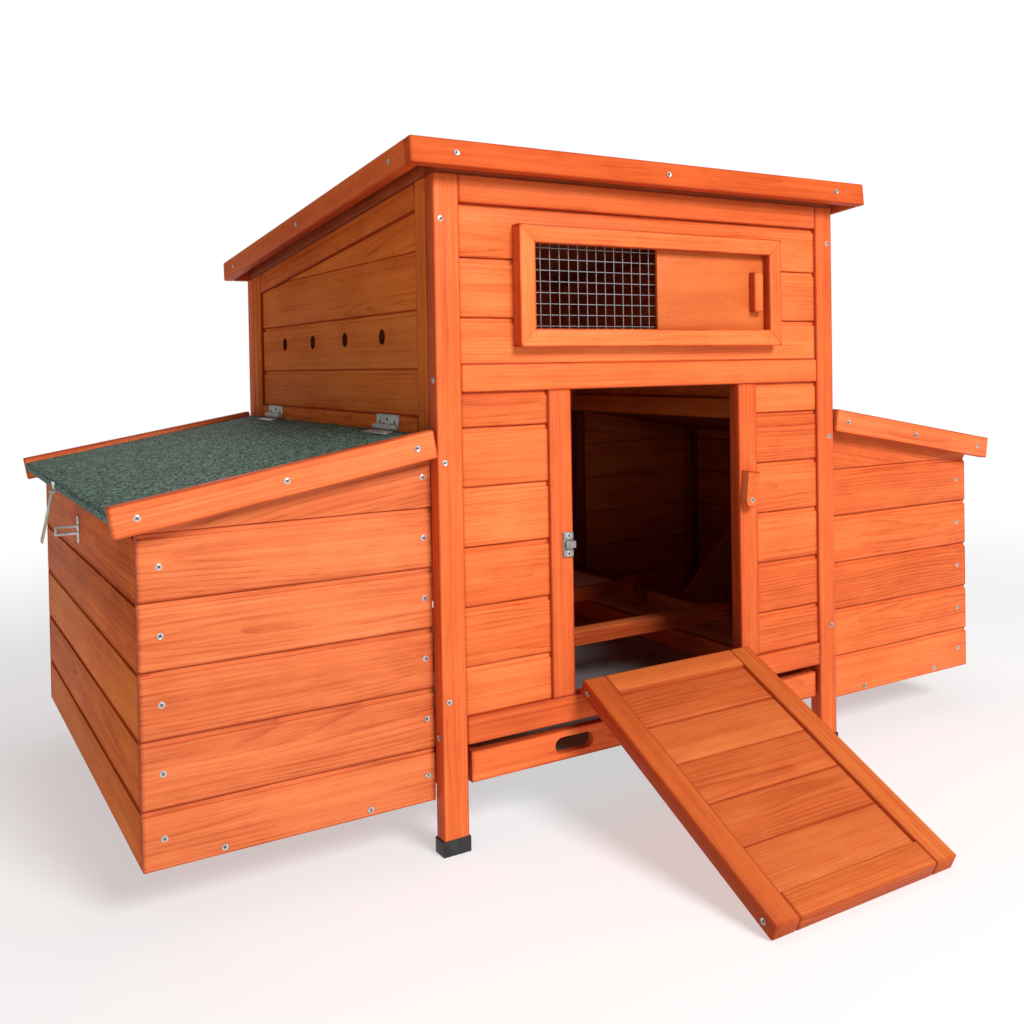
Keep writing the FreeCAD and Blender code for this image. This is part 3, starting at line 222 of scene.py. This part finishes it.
def mineral_felt(name, dark, body, light):
    """Roofing felt: crushed slate granules pressed into bitumen, with bare specks between them."""
    f = Finish(name)
    place = f.node("ShaderNodeTexCoord").out("Object")
    cell = f.node("ShaderNodeTexVoronoi", {"feature": "F1"},
                  {"Vector": place, "Scale": GRANULES, "Randomness": 1.0})
    grey = f.node("ShaderNodeSeparateColor", None, {"Color": cell.out("Color")})
    patch = f.clouds(place, (22.0, 22.0, 22.0), 3.0)
    clumps = f.clouds(place, (300.0, 300.0, 300.0), 2.0)
    share = grey * 1.05 + (clumps - 0.5) * 0.5 + (patch - 0.5) * 0.20 - 0.03
    stops = [(0.06, dark), (0.50, body), (1.0, light)]
    colour = f.node("ShaderNodeValToRGB", {"stops": stops}, {"Fac": share})
    bare = f.band(cell.out("Distance"), 0.46, 0.80) * 0.6
    colour = f.blend(bare, colour, (*dark, 1.0))
    colour = f.blend(f.band(grey, 0.83, 0.90) * 0.75, colour, (*light, 1.0))
    height = (1.0 - cell.out("Distance")) + grey * 0.6
    return f.done(Base_Color=colour, Roughness=0.86 - grey * 0.2, Normal=f.relief(height, 0.30, 0.0007),
                  Specular_IOR_Level=0.3)


def plated(name, tint, stain, rough, spangle=90.0):
    """Zinc on steel: a dull bloom, faint crystals and fine rolling marks."""
    f = Finish(name)
    place = f.node("ShaderNodeTexCoord").out("Object")
    bloom = f.clouds(place, (spangle, spangle, spangle), 4.0, 0.6)
    marks = f.clouds(place, (1400.0, 1400.0, 150.0), 2.0)
    crystal = f.node("ShaderNodeTexVoronoi", None, {"Vector": place, "Scale": spangle * 3.0})
    facet = f.node("ShaderNodeSeparateColor", None, {"Color": crystal.out("Color")})
    share = f.band(bloom, 0.35, 0.75) * 0.7 + facet * 0.18
    colour = f.blend(share, (*tint, 1.0), (*stain, 1.0))
    dulled = rough + (bloom - 0.5) * 0.3 + (marks - 0.5) * 0.1
    return f.done(Base_Color=colour, Metallic=0.65, Roughness=dulled,
                  Normal=f.relief(marks + bloom, 0.12, 0.0003))


def moulded_rubber(name, tint):
    """Soft black plastic with a fine moulded texture and pale dust on it."""
    f = Finish(name)
    place = f.node("ShaderNodeTexCoord").out("Object")
    pebble = f.clouds(place, (900.0, 900.0, 900.0), 2.0)
    dust = f.band(f.clouds(place, (60.0, 60.0, 40.0), 4.0), 0.52, 0.75) * 0.35
    colour = f.blend(dust, (*tint, 1.0), (0.09, 0.085, 0.08, 1.0))
    return f.done(Base_Color=colour, Roughness=0.5 + dust * 0.6, Normal=f.relief(pebble, 0.3, 0.0003),
                  Specular_IOR_Level=0.45)


def studio_paper(name, shade, glow):
    """Seamless pale paper that brightens to plain white away from the object, so no horizon shows."""
    f = Finish(name)
    place = f.node("ShaderNodeTexCoord").out("Object")
    flat = f.node("ShaderNodeVectorMath", {"operation": "LENGTH"}, {0: place}).out("Value")
    far = f.band(flat, 0.9, 3.0)
    colour = f.blend(far, (shade, shade, shade, 1.0), (0.0, 0.0, 0.0, 1.0))
    light = f.blend(far, (glow, glow, glow, 1.0), (1.0, 1.0, 1.0, 1.0))
    return f.done(Base_Color=colour, Roughness=0.95, Specular_IOR_Level=0.0,
                  Emission_Color=light, Emission_Strength=1.0)


# Each timber has its pale, middle and deep stain; then the strength of its rings, its tone and its gloss.
ORANGE = (0.930, 0.262, 0.078)
RUST = (0.800, 0.158, 0.040)
BRICK = (0.440, 0.052, 0.012)
FINISHES = {
    "frame_wood": stained_timber("stained_frame", (0.90, 0.230, 0.064), (0.76, 0.138, 0.034), BRICK,
                                 0.7, -0.04),
    "board_wood": stained_timber("stained_board", ORANGE, RUST, BRICK),
    # A paler, cooler copy of the board stain: painted cooler light on the left nest front.
    "nest_front_painted_light_wood": stained_timber("stained_nest_front_painted_light", (0.88, 0.290, 0.108), (0.76, 0.180, 0.058),
                                      (0.42, 0.060, 0.018)),
    # A darker, nearly glossless copy of the board stain: painted shade on the end and gable boards.
    "side_board_wood": stained_timber("stained_side_board_painted_shade", (0.84, 0.235, 0.048), (0.68, 0.140, 0.024),
                                      (0.34, 0.044, 0.008), gloss=0.01),
    "moulding_wood": stained_timber("stained_moulding", (0.93, 0.272, 0.082), (0.83, 0.172, 0.044), BRICK,
                                    0.6, -0.08),
    "plywood": thin_plywood("stained_plywood", (0.74, 0.180, 0.042), (0.53, 0.088, 0.018)),
    # A darker copy of the stain: painted shade for the inside of the house.
    "inner_wood": stained_timber("stained_inside_painted_shade", (0.50, 0.115, 0.035), (0.36, 0.062, 0.017),
                                 (0.18, 0.022, 0.006)),
    "roof_wood": stained_timber("stained_fascia", (0.80, 0.178, 0.044), (0.63, 0.102, 0.023), BRICK,
                                0.9, 0.02, 0.03),
    "roof_panel": thin_plywood("stained_roof_board", (0.56, 0.16, 0.050), (0.38, 0.08, 0.022)),
    "lid_wood": stained_timber("stained_batten", (0.94, 0.270, 0.092), (0.83, 0.172, 0.050), BRICK,
                               0.9, -0.02),
    "ramp_wood": stained_timber("stained_ramp_frame", (0.74, 0.212, 0.054), (0.62, 0.128, 0.028),
                                (0.38, 0.052, 0.012), 0.8),
    "ramp_board_wood": stained_timber("stained_ramp_board", (0.74, 0.212, 0.058), (0.62, 0.130, 0.032),
                                      (0.38, 0.050, 0.012), 1.1),
    "tray_wood": stained_timber("stained_tray", ORANGE, RUST, BRICK, 0.8),
    "perch_wood": stained_timber("stained_perch", (0.84, 0.23, 0.07), (0.70, 0.14, 0.036),
                                 (0.36, 0.045, 0.011)),
    "roof_felt": mineral_felt("green_roof_felt", (0.007, 0.020, 0.014), (0.034, 0.086, 0.058),
                              (0.200, 0.310, 0.235)),
    "lid_felt": mineral_felt("green_lid_felt", (0.007, 0.021, 0.015), (0.036, 0.088, 0.060),
                             (0.205, 0.315, 0.240)),
    "zinc": plated("plated_fitting", (0.66, 0.66, 0.62), (0.42, 0.42, 0.39), 0.38),
    "screw_zinc": plated("plated_screw", (0.66, 0.66, 0.65), (0.42, 0.42, 0.41), 0.34),
    "mesh_wire": plated("galvanised_wire", (0.40, 0.41, 0.42), (0.26, 0.27, 0.28), 0.42),
    "tray_metal": plated("tray_sheet", (0.50, 0.51, 0.51), (0.32, 0.33, 0.33), 0.45, 40.0),
    "strap_zinc": plated("plated_strap", (0.66, 0.64, 0.47), (0.44, 0.42, 0.29), 0.42),
    # A darker copy of the zinc: painted shade, meant for the plate between the ears and the roller block.
    "catch_shaded_zinc": plated("catch_painted_shade", (0.38, 0.38, 0.36), (0.20, 0.20, 0.19), 0.46),
    "dull_zinc": plated("dull_screw", (0.22, 0.21, 0.20), (0.12, 0.11, 0.10), 0.5),
    # Very dark wood for the vents' walls: painted shade inside the holes.
    "vent_bore_painted_shade": stained_timber("vent_bore_painted_shade", (0.20, 0.042, 0.012), (0.11, 0.020, 0.006),
                                (0.05, 0.010, 0.003)),
    "foot_plastic": moulded_rubber("black_foot", (0.016, 0.016, 0.018)),
}
# Painted shade for the bottoms of the screws' cross recesses; the moulding's brad heads wear it too.
RECESS = moulded_rubber("recess_shadow", (0.03, 0.027, 0.024))
PAPER = studio_paper("floor_paper", 0.50, 0.50)


# ---------------------------------------------------------------- meshes
def closed_solids(bm):
    """Splits a node's triangles, solid after solid: one is whole when each edge has met its opposite."""
    solids = [[]]
    unmatched = set()
    for face in bm.faces:
        corners = [tuple(round(c, 7) for c in vert.co) for vert in face.verts]
        for start, end in zip(corners, corners[1:] + corners[:1]):
            if (end, start) in unmatched:
                unmatched.discard((end, start))
            else:
                unmatched.add((start, end))
        solids[-1].append(face)
        if not unmatched:
            solids.append([])
    return [faces for faces in solids if faces]


def once(items):
    """The items without repeats, in the order that they come in, so that every run is the same."""
    return list(dict.fromkeys(items))


WELD = 0.002 * MM            # points nearer than this are one


def cad_copy(node):
    """The node's own mesh, with each solid welded by itself and its flat faces whole again."""
    bm = bmesh.new()
    bm.from_mesh(frame["nodes"][node].data)
    for solid in closed_solids(bm):
        points = once(vert for face in solid for vert in face.verts)
        bmesh.ops.remove_doubles(bm, verts=points, dist=WELD)
    bmesh.ops.dissolve_limit(bm, angle_limit=math.radians(1), verts=bm.verts, edges=bm.edges)
    return bm


def ease(bm, width, segments=2, least=4.0, turn=35):
    """Rounds the edges that are sharper than the turn, except the short ones round holes and arcs."""
    sharp = [edge for edge in bm.edges if len(edge.link_faces) == 2
             and edge.calc_face_angle(0) > math.radians(turn) and edge.calc_length() > least * width * MM]
    bmesh.ops.bevel(bm, geom=sharp, affect="EDGES", offset=width * MM, offset_type="OFFSET",
                    segments=segments, profile=0.5, material=-1, clamp_overlap=True)


def loose_parts(bm):
    """The separate solids of a mesh, each as a list of its points."""
    waiting = set(bm.verts)
    parts = []
    for start in bm.verts:
        if start not in waiting:
            continue
        waiting.discard(start)
        found = [start]
        for vert in found:
            for edge in vert.link_edges:
                other = edge.other_vert(vert)
                if other in waiting:
                    waiting.discard(other)
                    found.append(other)
        parts.append(found)
    return parts


def extent(part, way):
    """The lowest and highest places of a part's points along a direction."""
    places = [vert.co.dot(way) for vert in part]
    return min(places), max(places)


def corners_of(part):
    """A part's lowest and highest corners."""
    lows = Vector(min(vert.co[i] for vert in part) for i in range(3))
    highs = Vector(max(vert.co[i] for vert in part) for i in range(3))
    return lows, highs


def middle_x(part):
    """Where the points of a part lie from left to right, on average."""
    return sum(vert.co.x for vert in part) / len(part)


def board_axes(part):
    """Along, across and through one board, from the directions that most of its edges run in."""
    runs = []
    for edge in once(edge for vert in part for edge in vert.link_edges):
        way = edge.verts[1].co - edge.verts[0].co
        length = way.length
        if length < 1e-6:
            continue
        way = way / length
        for run in runs:
            if abs(run[1].dot(way)) > 0.999:
                run[0] += length
                break
        else:
            runs.append([length, way])
    runs.sort(key=lambda run: -run[0])
    along = runs[0][1]
    square = (run[1] for run in runs if abs(run[1].dot(along)) < 0.05)
    across = next(square, along.orthogonal().normalized())
    across = (across - along * across.dot(along)).normalized()
    through = along.cross(across)
    wide, thick = (high - low for low, high in (extent(part, across), extent(part, through)))
    return (along, across, through) if wide > thick else (along, through, across)


def lay_grain(bm, name):
    """Writes each board's own lengths, half sizes and number, which the timber finishes read."""
    place = bm.verts.layers.float_vector.new("place")
    half = bm.verts.layers.float_vector.new("half")
    board = bm.verts.layers.float.new("board")
    for number, part in enumerate(loose_parts(bm)):
        axes = board_axes(part)
        spans = [extent(part, way) for way in axes]
        middles = [(low + high) / 2 for low, high in spans]
        halves = Vector((high - low) / 2 for low, high in spans)
        share = random.Random(f"{name} {number}").random()
        for vert in part:
            vert[place] = Vector(vert.co.dot(way) - middle for way, middle in zip(axes, middles))
            vert[half] = halves
            vert[board] = share


def finished(bm, name, body, slot, nodes=(), finish=None, smooth=30):
    """Makes the mesh a piece that rides on its body, wears a finish and stands for its nodes."""
    mesh = bpy.data.meshes.new(name)
    bm.to_mesh(mesh)
    bm.free()
    piece = bpy.data.objects.new(name, mesh)
    bpy.context.scene.collection.objects.link(piece)
    if smooth:
        mesh.shade_smooth()
        mesh.set_sharp_from_angle(angle=math.radians(smooth))
    mesh.materials.append(finish or FINISHES[slot])
    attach(piece, body)
    if nodes:
        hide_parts(*nodes)
    return piece


def turn_to(direction):
    """The turn that brings +Z onto a direction."""
    return UP.rotation_difference(Vector(direction)).to_matrix().to_4x4()


# ---------------------------------------------------------------- timber
# How far each timber's edges are rounded, in millimetres.
EASED = {"frame_wood": 1.8, "board_wood": 0.9, "side_board_wood": 0.9, "moulding_wood": 1.1, "plywood": 0.4,
         "inner_wood": 0.6, "roof_wood": 2.2, "roof_panel": 0.6, "lid_wood": 1.6, "ramp_wood": 2.6,
         "ramp_board_wood": 0.9, "tray_wood": 1.2, "perch_wood": 2.2}
# Nodes whose finish differs from that of their slot: lit and shaded copies of the stain, painted cooler light on
# the left nest front and painted shade on the nest ends and gable frames.
PAINTED_LIGHT_AS = {"left_nest_front": "nest_front_painted_light_wood", "left_nest_end": "side_board_wood",
           "right_nest_end": "side_board_wood", "gable_frames": "side_board_wood"}


def dress_timber():
    for node, slot in SLOT_OF.items():
        if slot not in EASED:
            continue
        bm = cad_copy(node)
        for face in bm.faces:
            # Vent walls take the second finish, the painted shade of the holes.
            face.material_index = int("gable_boards" in node and bore_face(face))
        ease(bm, EASED[slot])
        lay_grain(bm, node)
        chosen_finish = FINISHES[PAINTED_LIGHT_AS.get(node, slot)]
        piece = finished(bm, f"{node}_timber", BODY_OF[node], slot, [node], chosen_finish)
        if "gable_boards" in node:
            piece.data.materials.append(FINISHES["vent_bore_painted_shade"])


def bore_face(face):
    """Whether a face is one strip of a vent's wall: as long as the board is thick, and narrow."""
    lengths = [edge.calc_length() for edge in face.edges]
    return len(lengths) == 4 and max(lengths) < 20 * MM and min(lengths) < 6 * MM


# ---------------------------------------------------------------- screws and nails
SCREW_RADIUS = 4.0           # mm, as are the next two
SCREW_DOME = 1.15
RECESS_DEPTH = 0.9
CROSS_WIDTH = 0.15           # of the head's radius, as are the next two
CROSS_REACH = 0.58
SHOULDER = 0.93
DOME_FALL = 0.62             # of the dome's height, from its middle to its rim
RECESS_TAPER = 0.82          # the recess's width at its bottom, of its width at the top


def screw_head(bm, matrix, scale=1.0):
    """A domed head with a cross recess, from a grid whose rim is pushed out to a circle."""
    size = SCREW_RADIUS * MM * scale
    made = bmesh.ops.create_grid(bm, x_segments=5, y_segments=5, size=1.0)["verts"]
    steps = {1: CROSS_WIDTH, 3: CROSS_REACH, 5: 1.0}       # the grid's lines are at odd fifths
    for vert in made:
        flat = Vector((math.copysign(steps[round(abs(c) * 5)], c) for c in vert.co.xy))
        if max(abs(flat.x), abs(flat.y)) > 0.9:
            flat = flat.normalized() * SHOULDER
        height = SCREW_DOME * MM * scale * (1 - DOME_FALL * flat.length_squared)
        vert.co = (flat.x * size, flat.y * size, height)
    faces = once(face for vert in made for face in vert.link_faces)
    rim = [edge for edge in once(e for f in faces for e in f.edges) if len(edge.link_faces) == 1]
    skirt = bmesh.ops.extrude_edge_only(bm, edges=rim)["geom"]
    skirt = [item for item in skirt if isinstance(item, bmesh.types.BMVert)]
    for vert in skirt:
        flat = vert.co.xy.normalized() * size
        vert.co = (flat.x, flat.y, 0)
    reach = CROSS_REACH * size
    width = CROSS_WIDTH * size
    cross = [face for face in faces if min(abs(c) for c in face.calc_center_median().xy) < width * 0.5
             and max(abs(c) for c in face.calc_center_median().xy) < reach]
    sunk = bmesh.ops.extrude_face_region(bm, geom=cross)["geom"]
    bmesh.ops.delete(bm, geom=cross, context="FACES_ONLY")
    sunk_verts = [item for item in sunk if isinstance(item, bmesh.types.BMVert)]
    for vert in sunk_verts:
        deeper = vert.co.z - RECESS_DEPTH * MM * scale
        vert.co = (vert.co.x * RECESS_TAPER, vert.co.y * RECESS_TAPER, deeper)
    # The recess's bottom faces wear painted shade.
    for face in sunk_faces(sunk_verts):
        face.material_index = 1
    bmesh.ops.transform(bm, matrix=matrix, verts=made + skirt + sunk_verts)


def sunk_faces(verts):
    """The faces whose corners all lie at the bottom of a recess."""
    bottom = set(verts)
    return {face for vert in verts for face in vert.link_faces if bottom.issuperset(face.verts)}


def screws(name, body, seats, scale=1.0, nodes=(), finish=None):
    """Heads at (place, outward direction) seats, each turned its own way."""
    bm = bmesh.new()
    for number, (seat, outward) in enumerate(seats):
        twist = random.Random(f"{name} {number}").uniform(0, math.tau)
        matrix = Matrix.Translation(seat) @ turn_to(outward) @ Matrix.Rotation(twist, 4, "Z")
        screw_head(bm, matrix, scale)
    bmesh.ops.recalc_face_normals(bm, faces=bm.faces)
    piece = finished(bm, name, body, "screw_zinc", nodes, finish, 40)
    piece.data.materials.append(RECESS)
    return piece


def head_seats(node):
    """Where each of a node's heads sits, and the way that it faces, from its flat underside."""
    bm = cad_copy(node)
    seats = []
    for part in loose_parts(bm):
        inside = sum((v.co for v in part), Vector()) / len(part)
        under = max(once(face for v in part for face in v.link_faces), key=lambda face: face.calc_area())
        outward = -under.normal
        seat = inside - outward * (inside - under.calc_center_median()).dot(outward)
        seats.append((seat, outward))
    bm.free()
    return seats


def dress_screws():
    for node, slot in SLOT_OF.items():
        if slot == "screw_zinc":
            screws(f"{node}_heads", BODY_OF[node], head_seats(node), nodes=[node])


# ---------------------------------------------------------------- metal
def dress_metal():
    for node, slot in SLOT_OF.items():
        if slot == "zinc" and node != "door_fittings":
            bm = cad_copy(node)
            ease(bm, 0.25, 2, 6.0, 50)
            chosen_finish = FINISHES["strap_zinc" if "strap" in node else slot]
            finished(bm, f"{node}_plated", BODY_OF[node], slot, [node], chosen_finish, 40)
    for node in ("window_mesh", "tray_pan"):
        wear_slot(node)


def wear_slot(node):
    item = frame["nodes"][node]
    for slot in item.material_slots:
        slot.material = FINISHES[SLOT_OF[node]]


LEAF_SCREWS = ((-26, 6.5), (0, 10.5), (26, 6.5))     # along the hinge, and out from its pin
LEAF_FACE = 3.4              # mm from the pin's middle to a leaf's face
HALF_LEAF = 38.1             # mm


def hinge_screws():
    """Three small screws in each leaf of the lids' hinges."""
    low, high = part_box("lid_wall_leaves")
    dull = FINISHES["dull_zinc"]
    for side, name in ((-1, "left"), (1, "right")):
        joint = next(j for j in frame["joints"] if j["name"] == f"{name}_lid_hinge")
        pin = Vector(joint["pos_m"])
        slope = lid_slope(name)
        above = lid_normal(slope)
        wall = []
        lid = []
        for middle in hinge_middles(low, high):
            for along, out in LEAF_SCREWS:
                y = middle + along * MM
                seat = Vector((side * (abs(pin.x) - LEAF_FACE * MM), y, pin.z + out * MM))
                wall.append((seat, Vector((side, 0, 0))))
                seat = Vector((pin.x, y, pin.z)) + slope * (out * MM) - above * (LEAF_FACE * MM)
                lid.append((seat, above))
        screws(f"{name}_wall_leaf_screws", "house", wall, 0.75, finish=dull)
        screws(f"{name}_lid_leaf_screws", f"{name}_lid", lid, 0.75, finish=dull)


def hinge_middles(low, high):
    """The two hinges' middles along the house: half a leaf in from the leaves' own ends."""
    return low.y + HALF_LEAF * MM, high.y - HALF_LEAF * MM


def lid_slope(name):
    """The way down a lid, from the house to its outer edge."""
    bm = cad_copy(f"{name}_lid_felt")
    along = next(way for way in board_axes(list(bm.verts)) if abs(way.y) < 0.1 and abs(way.x) > 0.5)
    bm.free()
    return along if along.z < 0 else -along


def lid_normal(slope):
    normal = Vector((-slope.z, 0, slope.x))
    return normal if normal.z > 0 else -normal


# ---------------------------------------------------------------- felt
FELT_EDGE = 14               # mm, the longest edge that is left in a sheet
FELT_SWELL = 0.35            # mm that its face rises or falls


def dress_felt():
    for node, slot in SLOT_OF.items():
        if slot not in ("roof_felt", "lid_felt"):
            continue
        bm = cad_copy(node)
        if slot == "lid_felt":
            roll_outer_edge(bm)
        ease(bm, 0.8, 2)
        bmesh.ops.triangulate(bm, faces=[face for face in bm.faces if len(face.verts) > 4])
        for _ in range(7):
            long_edges = [edge for edge in bm.edges if edge.calc_length() > FELT_EDGE * MM]
            if not long_edges:
                break
            bmesh.ops.subdivide_edges(bm, edges=long_edges, cuts=1)
            bmesh.ops.triangulate(bm, faces=[face for face in bm.faces if len(face.verts) > 4])
        for vert in bm.verts:
            swell = noise.noise(vert.co * 26.0) + 0.5 * noise.noise(vert.co * 70.0)
            vert.co += vert.normal * (FELT_SWELL * MM * swell)
        finished(bm, f"{node}_sheet", BODY_OF[node], slot, [node])


def roll_outer_edge(bm):
    """Rounds the sheet where it turns down over the lid's outer edge."""
    ridges = [edge for edge in bm.edges if edge.calc_length() > 300 * MM
              and abs((edge.verts[1].co - edge.verts[0].co).normalized().y) > 0.99]
    outer = max(ridges, key=lambda edge: abs(edge.verts[0].co.x) + edge.verts[0].co.z)
    bmesh.ops.bevel(bm, geom=[outer], affect="EDGES", offset=4.5 * MM, offset_type="OFFSET", segments=6,
                    profile=0.5, material=-1)


# ---------------------------------------------------------------- small fittings
def chamfered_block(bm, size, matrix, width):
    """A block with its edges taken off, all sizes in millimetres."""
    made = bmesh.ops.create_cube(bm, size=1.0)["verts"]
    bmesh.ops.scale(bm, vec=Vector(size) * MM, verts=made)
    edges = once(edge for vert in made for edge in vert.link_edges)
    bevelled = bmesh.ops.bevel(bm, geom=edges, affect="EDGES", offset=width * MM, segments=2, profile=0.5,
                               material=-1)
    bmesh.ops.transform(bm, matrix=matrix, verts=bevelled["verts"])


CATCH_PLATE = 1.6            # mm thick
CATCH_EAR = 2.0              # mm thick
EAR_FACE = 3.2               # mm that the ears' faces stand out from the post
EAR_RISE = 0.355             # of the catch's height, from its middle to the middle of an ear
EAR_TALL = 0.27              # of the catch's height
BLOCK_TALL = 0.28            # of the catch's height


def door_catch():
    """The spring catch on the left door post: a folded plate with two screwed ears and a roller block."""
    bm = cad_copy("door_fittings")
    lows, highs = corners_of(min(loose_parts(bm), key=middle_x))
    bm.free()
    middle = (lows + highs) / 2
    width, deep, tall = highs - lows
    face = highs.y
    bm = bmesh.new()
    plate = Matrix.Translation((middle.x, face - CATCH_PLATE / 2 * MM, middle.z))
    chamfered_block(bm, (width / MM, CATCH_PLATE, tall / MM), plate, 0.3)
    ear_heights = [middle.z + way * tall * EAR_RISE for way in (-1, 1)]
    for height in ear_heights:
        ear = Matrix.Translation((middle.x, face - (EAR_FACE - CATCH_EAR / 2) * MM, height))
        chamfered_block(bm, (width / MM - 1, CATCH_EAR, tall / MM * EAR_TALL), ear, 0.4)
    block_deep = deep / MM - 2
    block = Matrix.Translation((middle.x + 2.0 * MM, face - (CATCH_PLATE + block_deep / 2) * MM, middle.z))
    chamfered_block(bm, (width / MM - 1, block_deep, tall / MM * BLOCK_TALL), block, 0.8)
    # The whole catch wears the darker zinc, painted shade.
    finished(bm, "door_catch_body", "house", "zinc", ["door_fittings"], FINISHES["catch_shaded_zinc"], 40)
    seats = [(Vector((middle.x, face - EAR_FACE * MM, height)), FRONTWARD) for height in ear_heights]
    screws("door_catch_screws", "house", seats, 1.1)


def turn_button_screw():
    """The screw that the wooden button turns on, with its head over the pin's front end."""
    bm = cad_copy("door_fittings")
    lows, highs = corners_of(max(loose_parts(bm), key=middle_x))
    bm.free()
    seat = Vector(((lows.x + highs.x) / 2, lows.y + 1.0 * MM, (lows.z + highs.z) / 2))
    screws("turn_button_screw", "house", [(seat, FRONTWARD)], 1.0)


STAPLE_PLATE = 1.5           # mm thick
STAPLE_SCREWS = 13.5         # mm above and below a staple's middle


def staple_screws():
    """Two screws in each staple's plate."""
    bm = cad_copy("staples")
    for part in loose_parts(bm):
        lows, highs = corners_of(part)
        middle = (lows + highs) / 2
        side = 1 if middle.x > 0 else -1
        face = lows.x + STAPLE_PLATE * MM if side > 0 else highs.x - STAPLE_PLATE * MM
        name = "right" if side > 0 else "left"
        outward = Vector((side, 0, 0))
        heights = [middle.z + way * STAPLE_SCREWS * MM for way in (-1, 1)]
        seats = [(Vector((face, middle.y, height)), outward) for height in heights]
        screws(f"{name}_staple_screws", "house", seats, 0.6)
    bm.free()


MOULDING_WIDTH = 24          # mm
BRAD_RADIUS = 0.8            # mm


def moulding_brads():
    """Small dark nail heads, set along the window's moulding where it is nailed on."""
    low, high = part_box("window_moulding")
    wide = MOULDING_WIDTH * MM
    places = []
    for share in (0.06, 0.25, 0.42, 0.60, 0.78, 0.94):
        for z in (low.z + wide * 0.5, high.z - wide * 0.5):
            places.append((low.x + (high.x - low.x) * share, z))
    for share in (0.3, 0.7):
        for x in (low.x + wide * 0.5, high.x - wide * 0.5):
            places.append((x, low.z + (high.z - low.z) * share))
    bm = bmesh.new()
    for number, (x, z) in enumerate(places):
        stray = random.Random(f"brad {number}")
        seat = Vector((x + stray.uniform(-4, 4) * MM, low.y - 0.02 * MM, z + stray.uniform(-3, 3) * MM))
        matrix = Matrix.Translation(seat) @ turn_to(FRONTWARD)
        bmesh.ops.create_circle(bm, cap_ends=True, segments=10, radius=BRAD_RADIUS * MM, matrix=matrix)
    bmesh.ops.recalc_face_normals(bm, faces=bm.faces)
    finished(bm, "moulding_brads", "house", "moulding_wood", finish=RECESS, smooth=0)


def dress_feet():
    bm = cad_copy("foot_caps")
    ease(bm, 1.2, 3)
    finished(bm, "foot_caps_moulded", "house", "foot_plastic", ["foot_caps"])


# ---------------------------------------------------------------- studio
def studio():
    """Pale paper floor, white surround, a soft key nearly in front and weaker lamps round it."""
    bpy.ops.mesh.primitive_plane_add(size=60, location=(0, 0, 0))
    floor = bpy.context.object
    floor.name = "studio_floor"
    floor.data.materials.append(PAPER)
    world = bpy.data.worlds.new("studio_world")
    bpy.context.scene.world = world
    world.use_nodes = True
    nodes = world.node_tree.nodes
    nodes.clear()
    seen = nodes.new("ShaderNodeBackground")
    seen.inputs["Color"].default_value = (1.0, 1.0, 1.0, 1.0)
    seen.inputs["Strength"].default_value = 1.0
    lit = nodes.new("ShaderNodeBackground")
    lit.inputs["Color"].default_value = (1.0, 0.985, 0.97, 1.0)
    lit.inputs["Strength"].default_value = 0.16
    path = nodes.new("ShaderNodeLightPath")
    either = nodes.new("ShaderNodeMixShader")
    out = nodes.new("ShaderNodeOutputWorld")
    links = world.node_tree.links
    links.new(path.outputs["Is Camera Ray"], either.inputs[0])
    links.new(lit.outputs[0], either.inputs[1])
    links.new(seen.outputs[0], either.inputs[2])
    links.new(either.outputs[0], out.inputs["Surface"])
    lamp("key", (0.35, -3.9, 2.9), 1.8, 198)
    lamp("fill", (-3.4, -2.2, 2.0), 2.6, 7)
    lamp("sky", (0.2, 0.5, 4.2), 3.0, 34)
    lamp("back", (0.5, 4.0, 2.6), 2.4, 26)


LAMP_AIM = Vector((0, 0, 0.4))


def lamp(name, place, size, power):
    """A round soft lamp, its size in metres and its power in watts, aimed at the middle of the house."""
    light = bpy.data.lights.new(name, "AREA")
    light.shape = "DISK"
    light.size = size
    light.energy = power
    item = bpy.data.objects.new(name, light)
    bpy.context.scene.collection.objects.link(item)
    item.location = place
    item.rotation_euler = (LAMP_AIM - Vector(place)).to_track_quat("-Z", "Y").to_euler()


CAMERA_PLACE = (-0.9316, -1.4477, 0.6222)
CAMERA_HEADING = -0.5731     # radians, as are the next two
CAMERA_DIP = 0.0170
CAMERA_ROLL = -0.0160


def camera():
    """At the height of the doorway's top, from the front left corner."""
    data = bpy.data.cameras.new("camera")
    data.lens = 37.77
    data.sensor_width = 36
    data.shift_x = -0.0643
    data.shift_y = -0.1268
    item = bpy.data.objects.new("camera", data)
    bpy.context.scene.collection.objects.link(item)
    level = Matrix.Rotation(CAMERA_HEADING, 4, "Z") @ Matrix.Rotation(math.pi / 2 - CAMERA_DIP, 4, "X")
    item.matrix_world = Matrix.Translation(CAMERA_PLACE) @ (level @ Matrix.Rotation(CAMERA_ROLL, 4, "Z"))
    bpy.context.scene.camera = item
    bpy.context.scene.view_settings.view_transform = "Standard"


# ---------------------------------------------------------------- build
camera()
studio()
dress_timber()
dress_screws()
dress_metal()
hinge_screws()
dress_felt()
door_catch()
turn_button_screw()
staple_screws()
moulding_brads()
dress_feet()

bpy.context.view_layer.update()
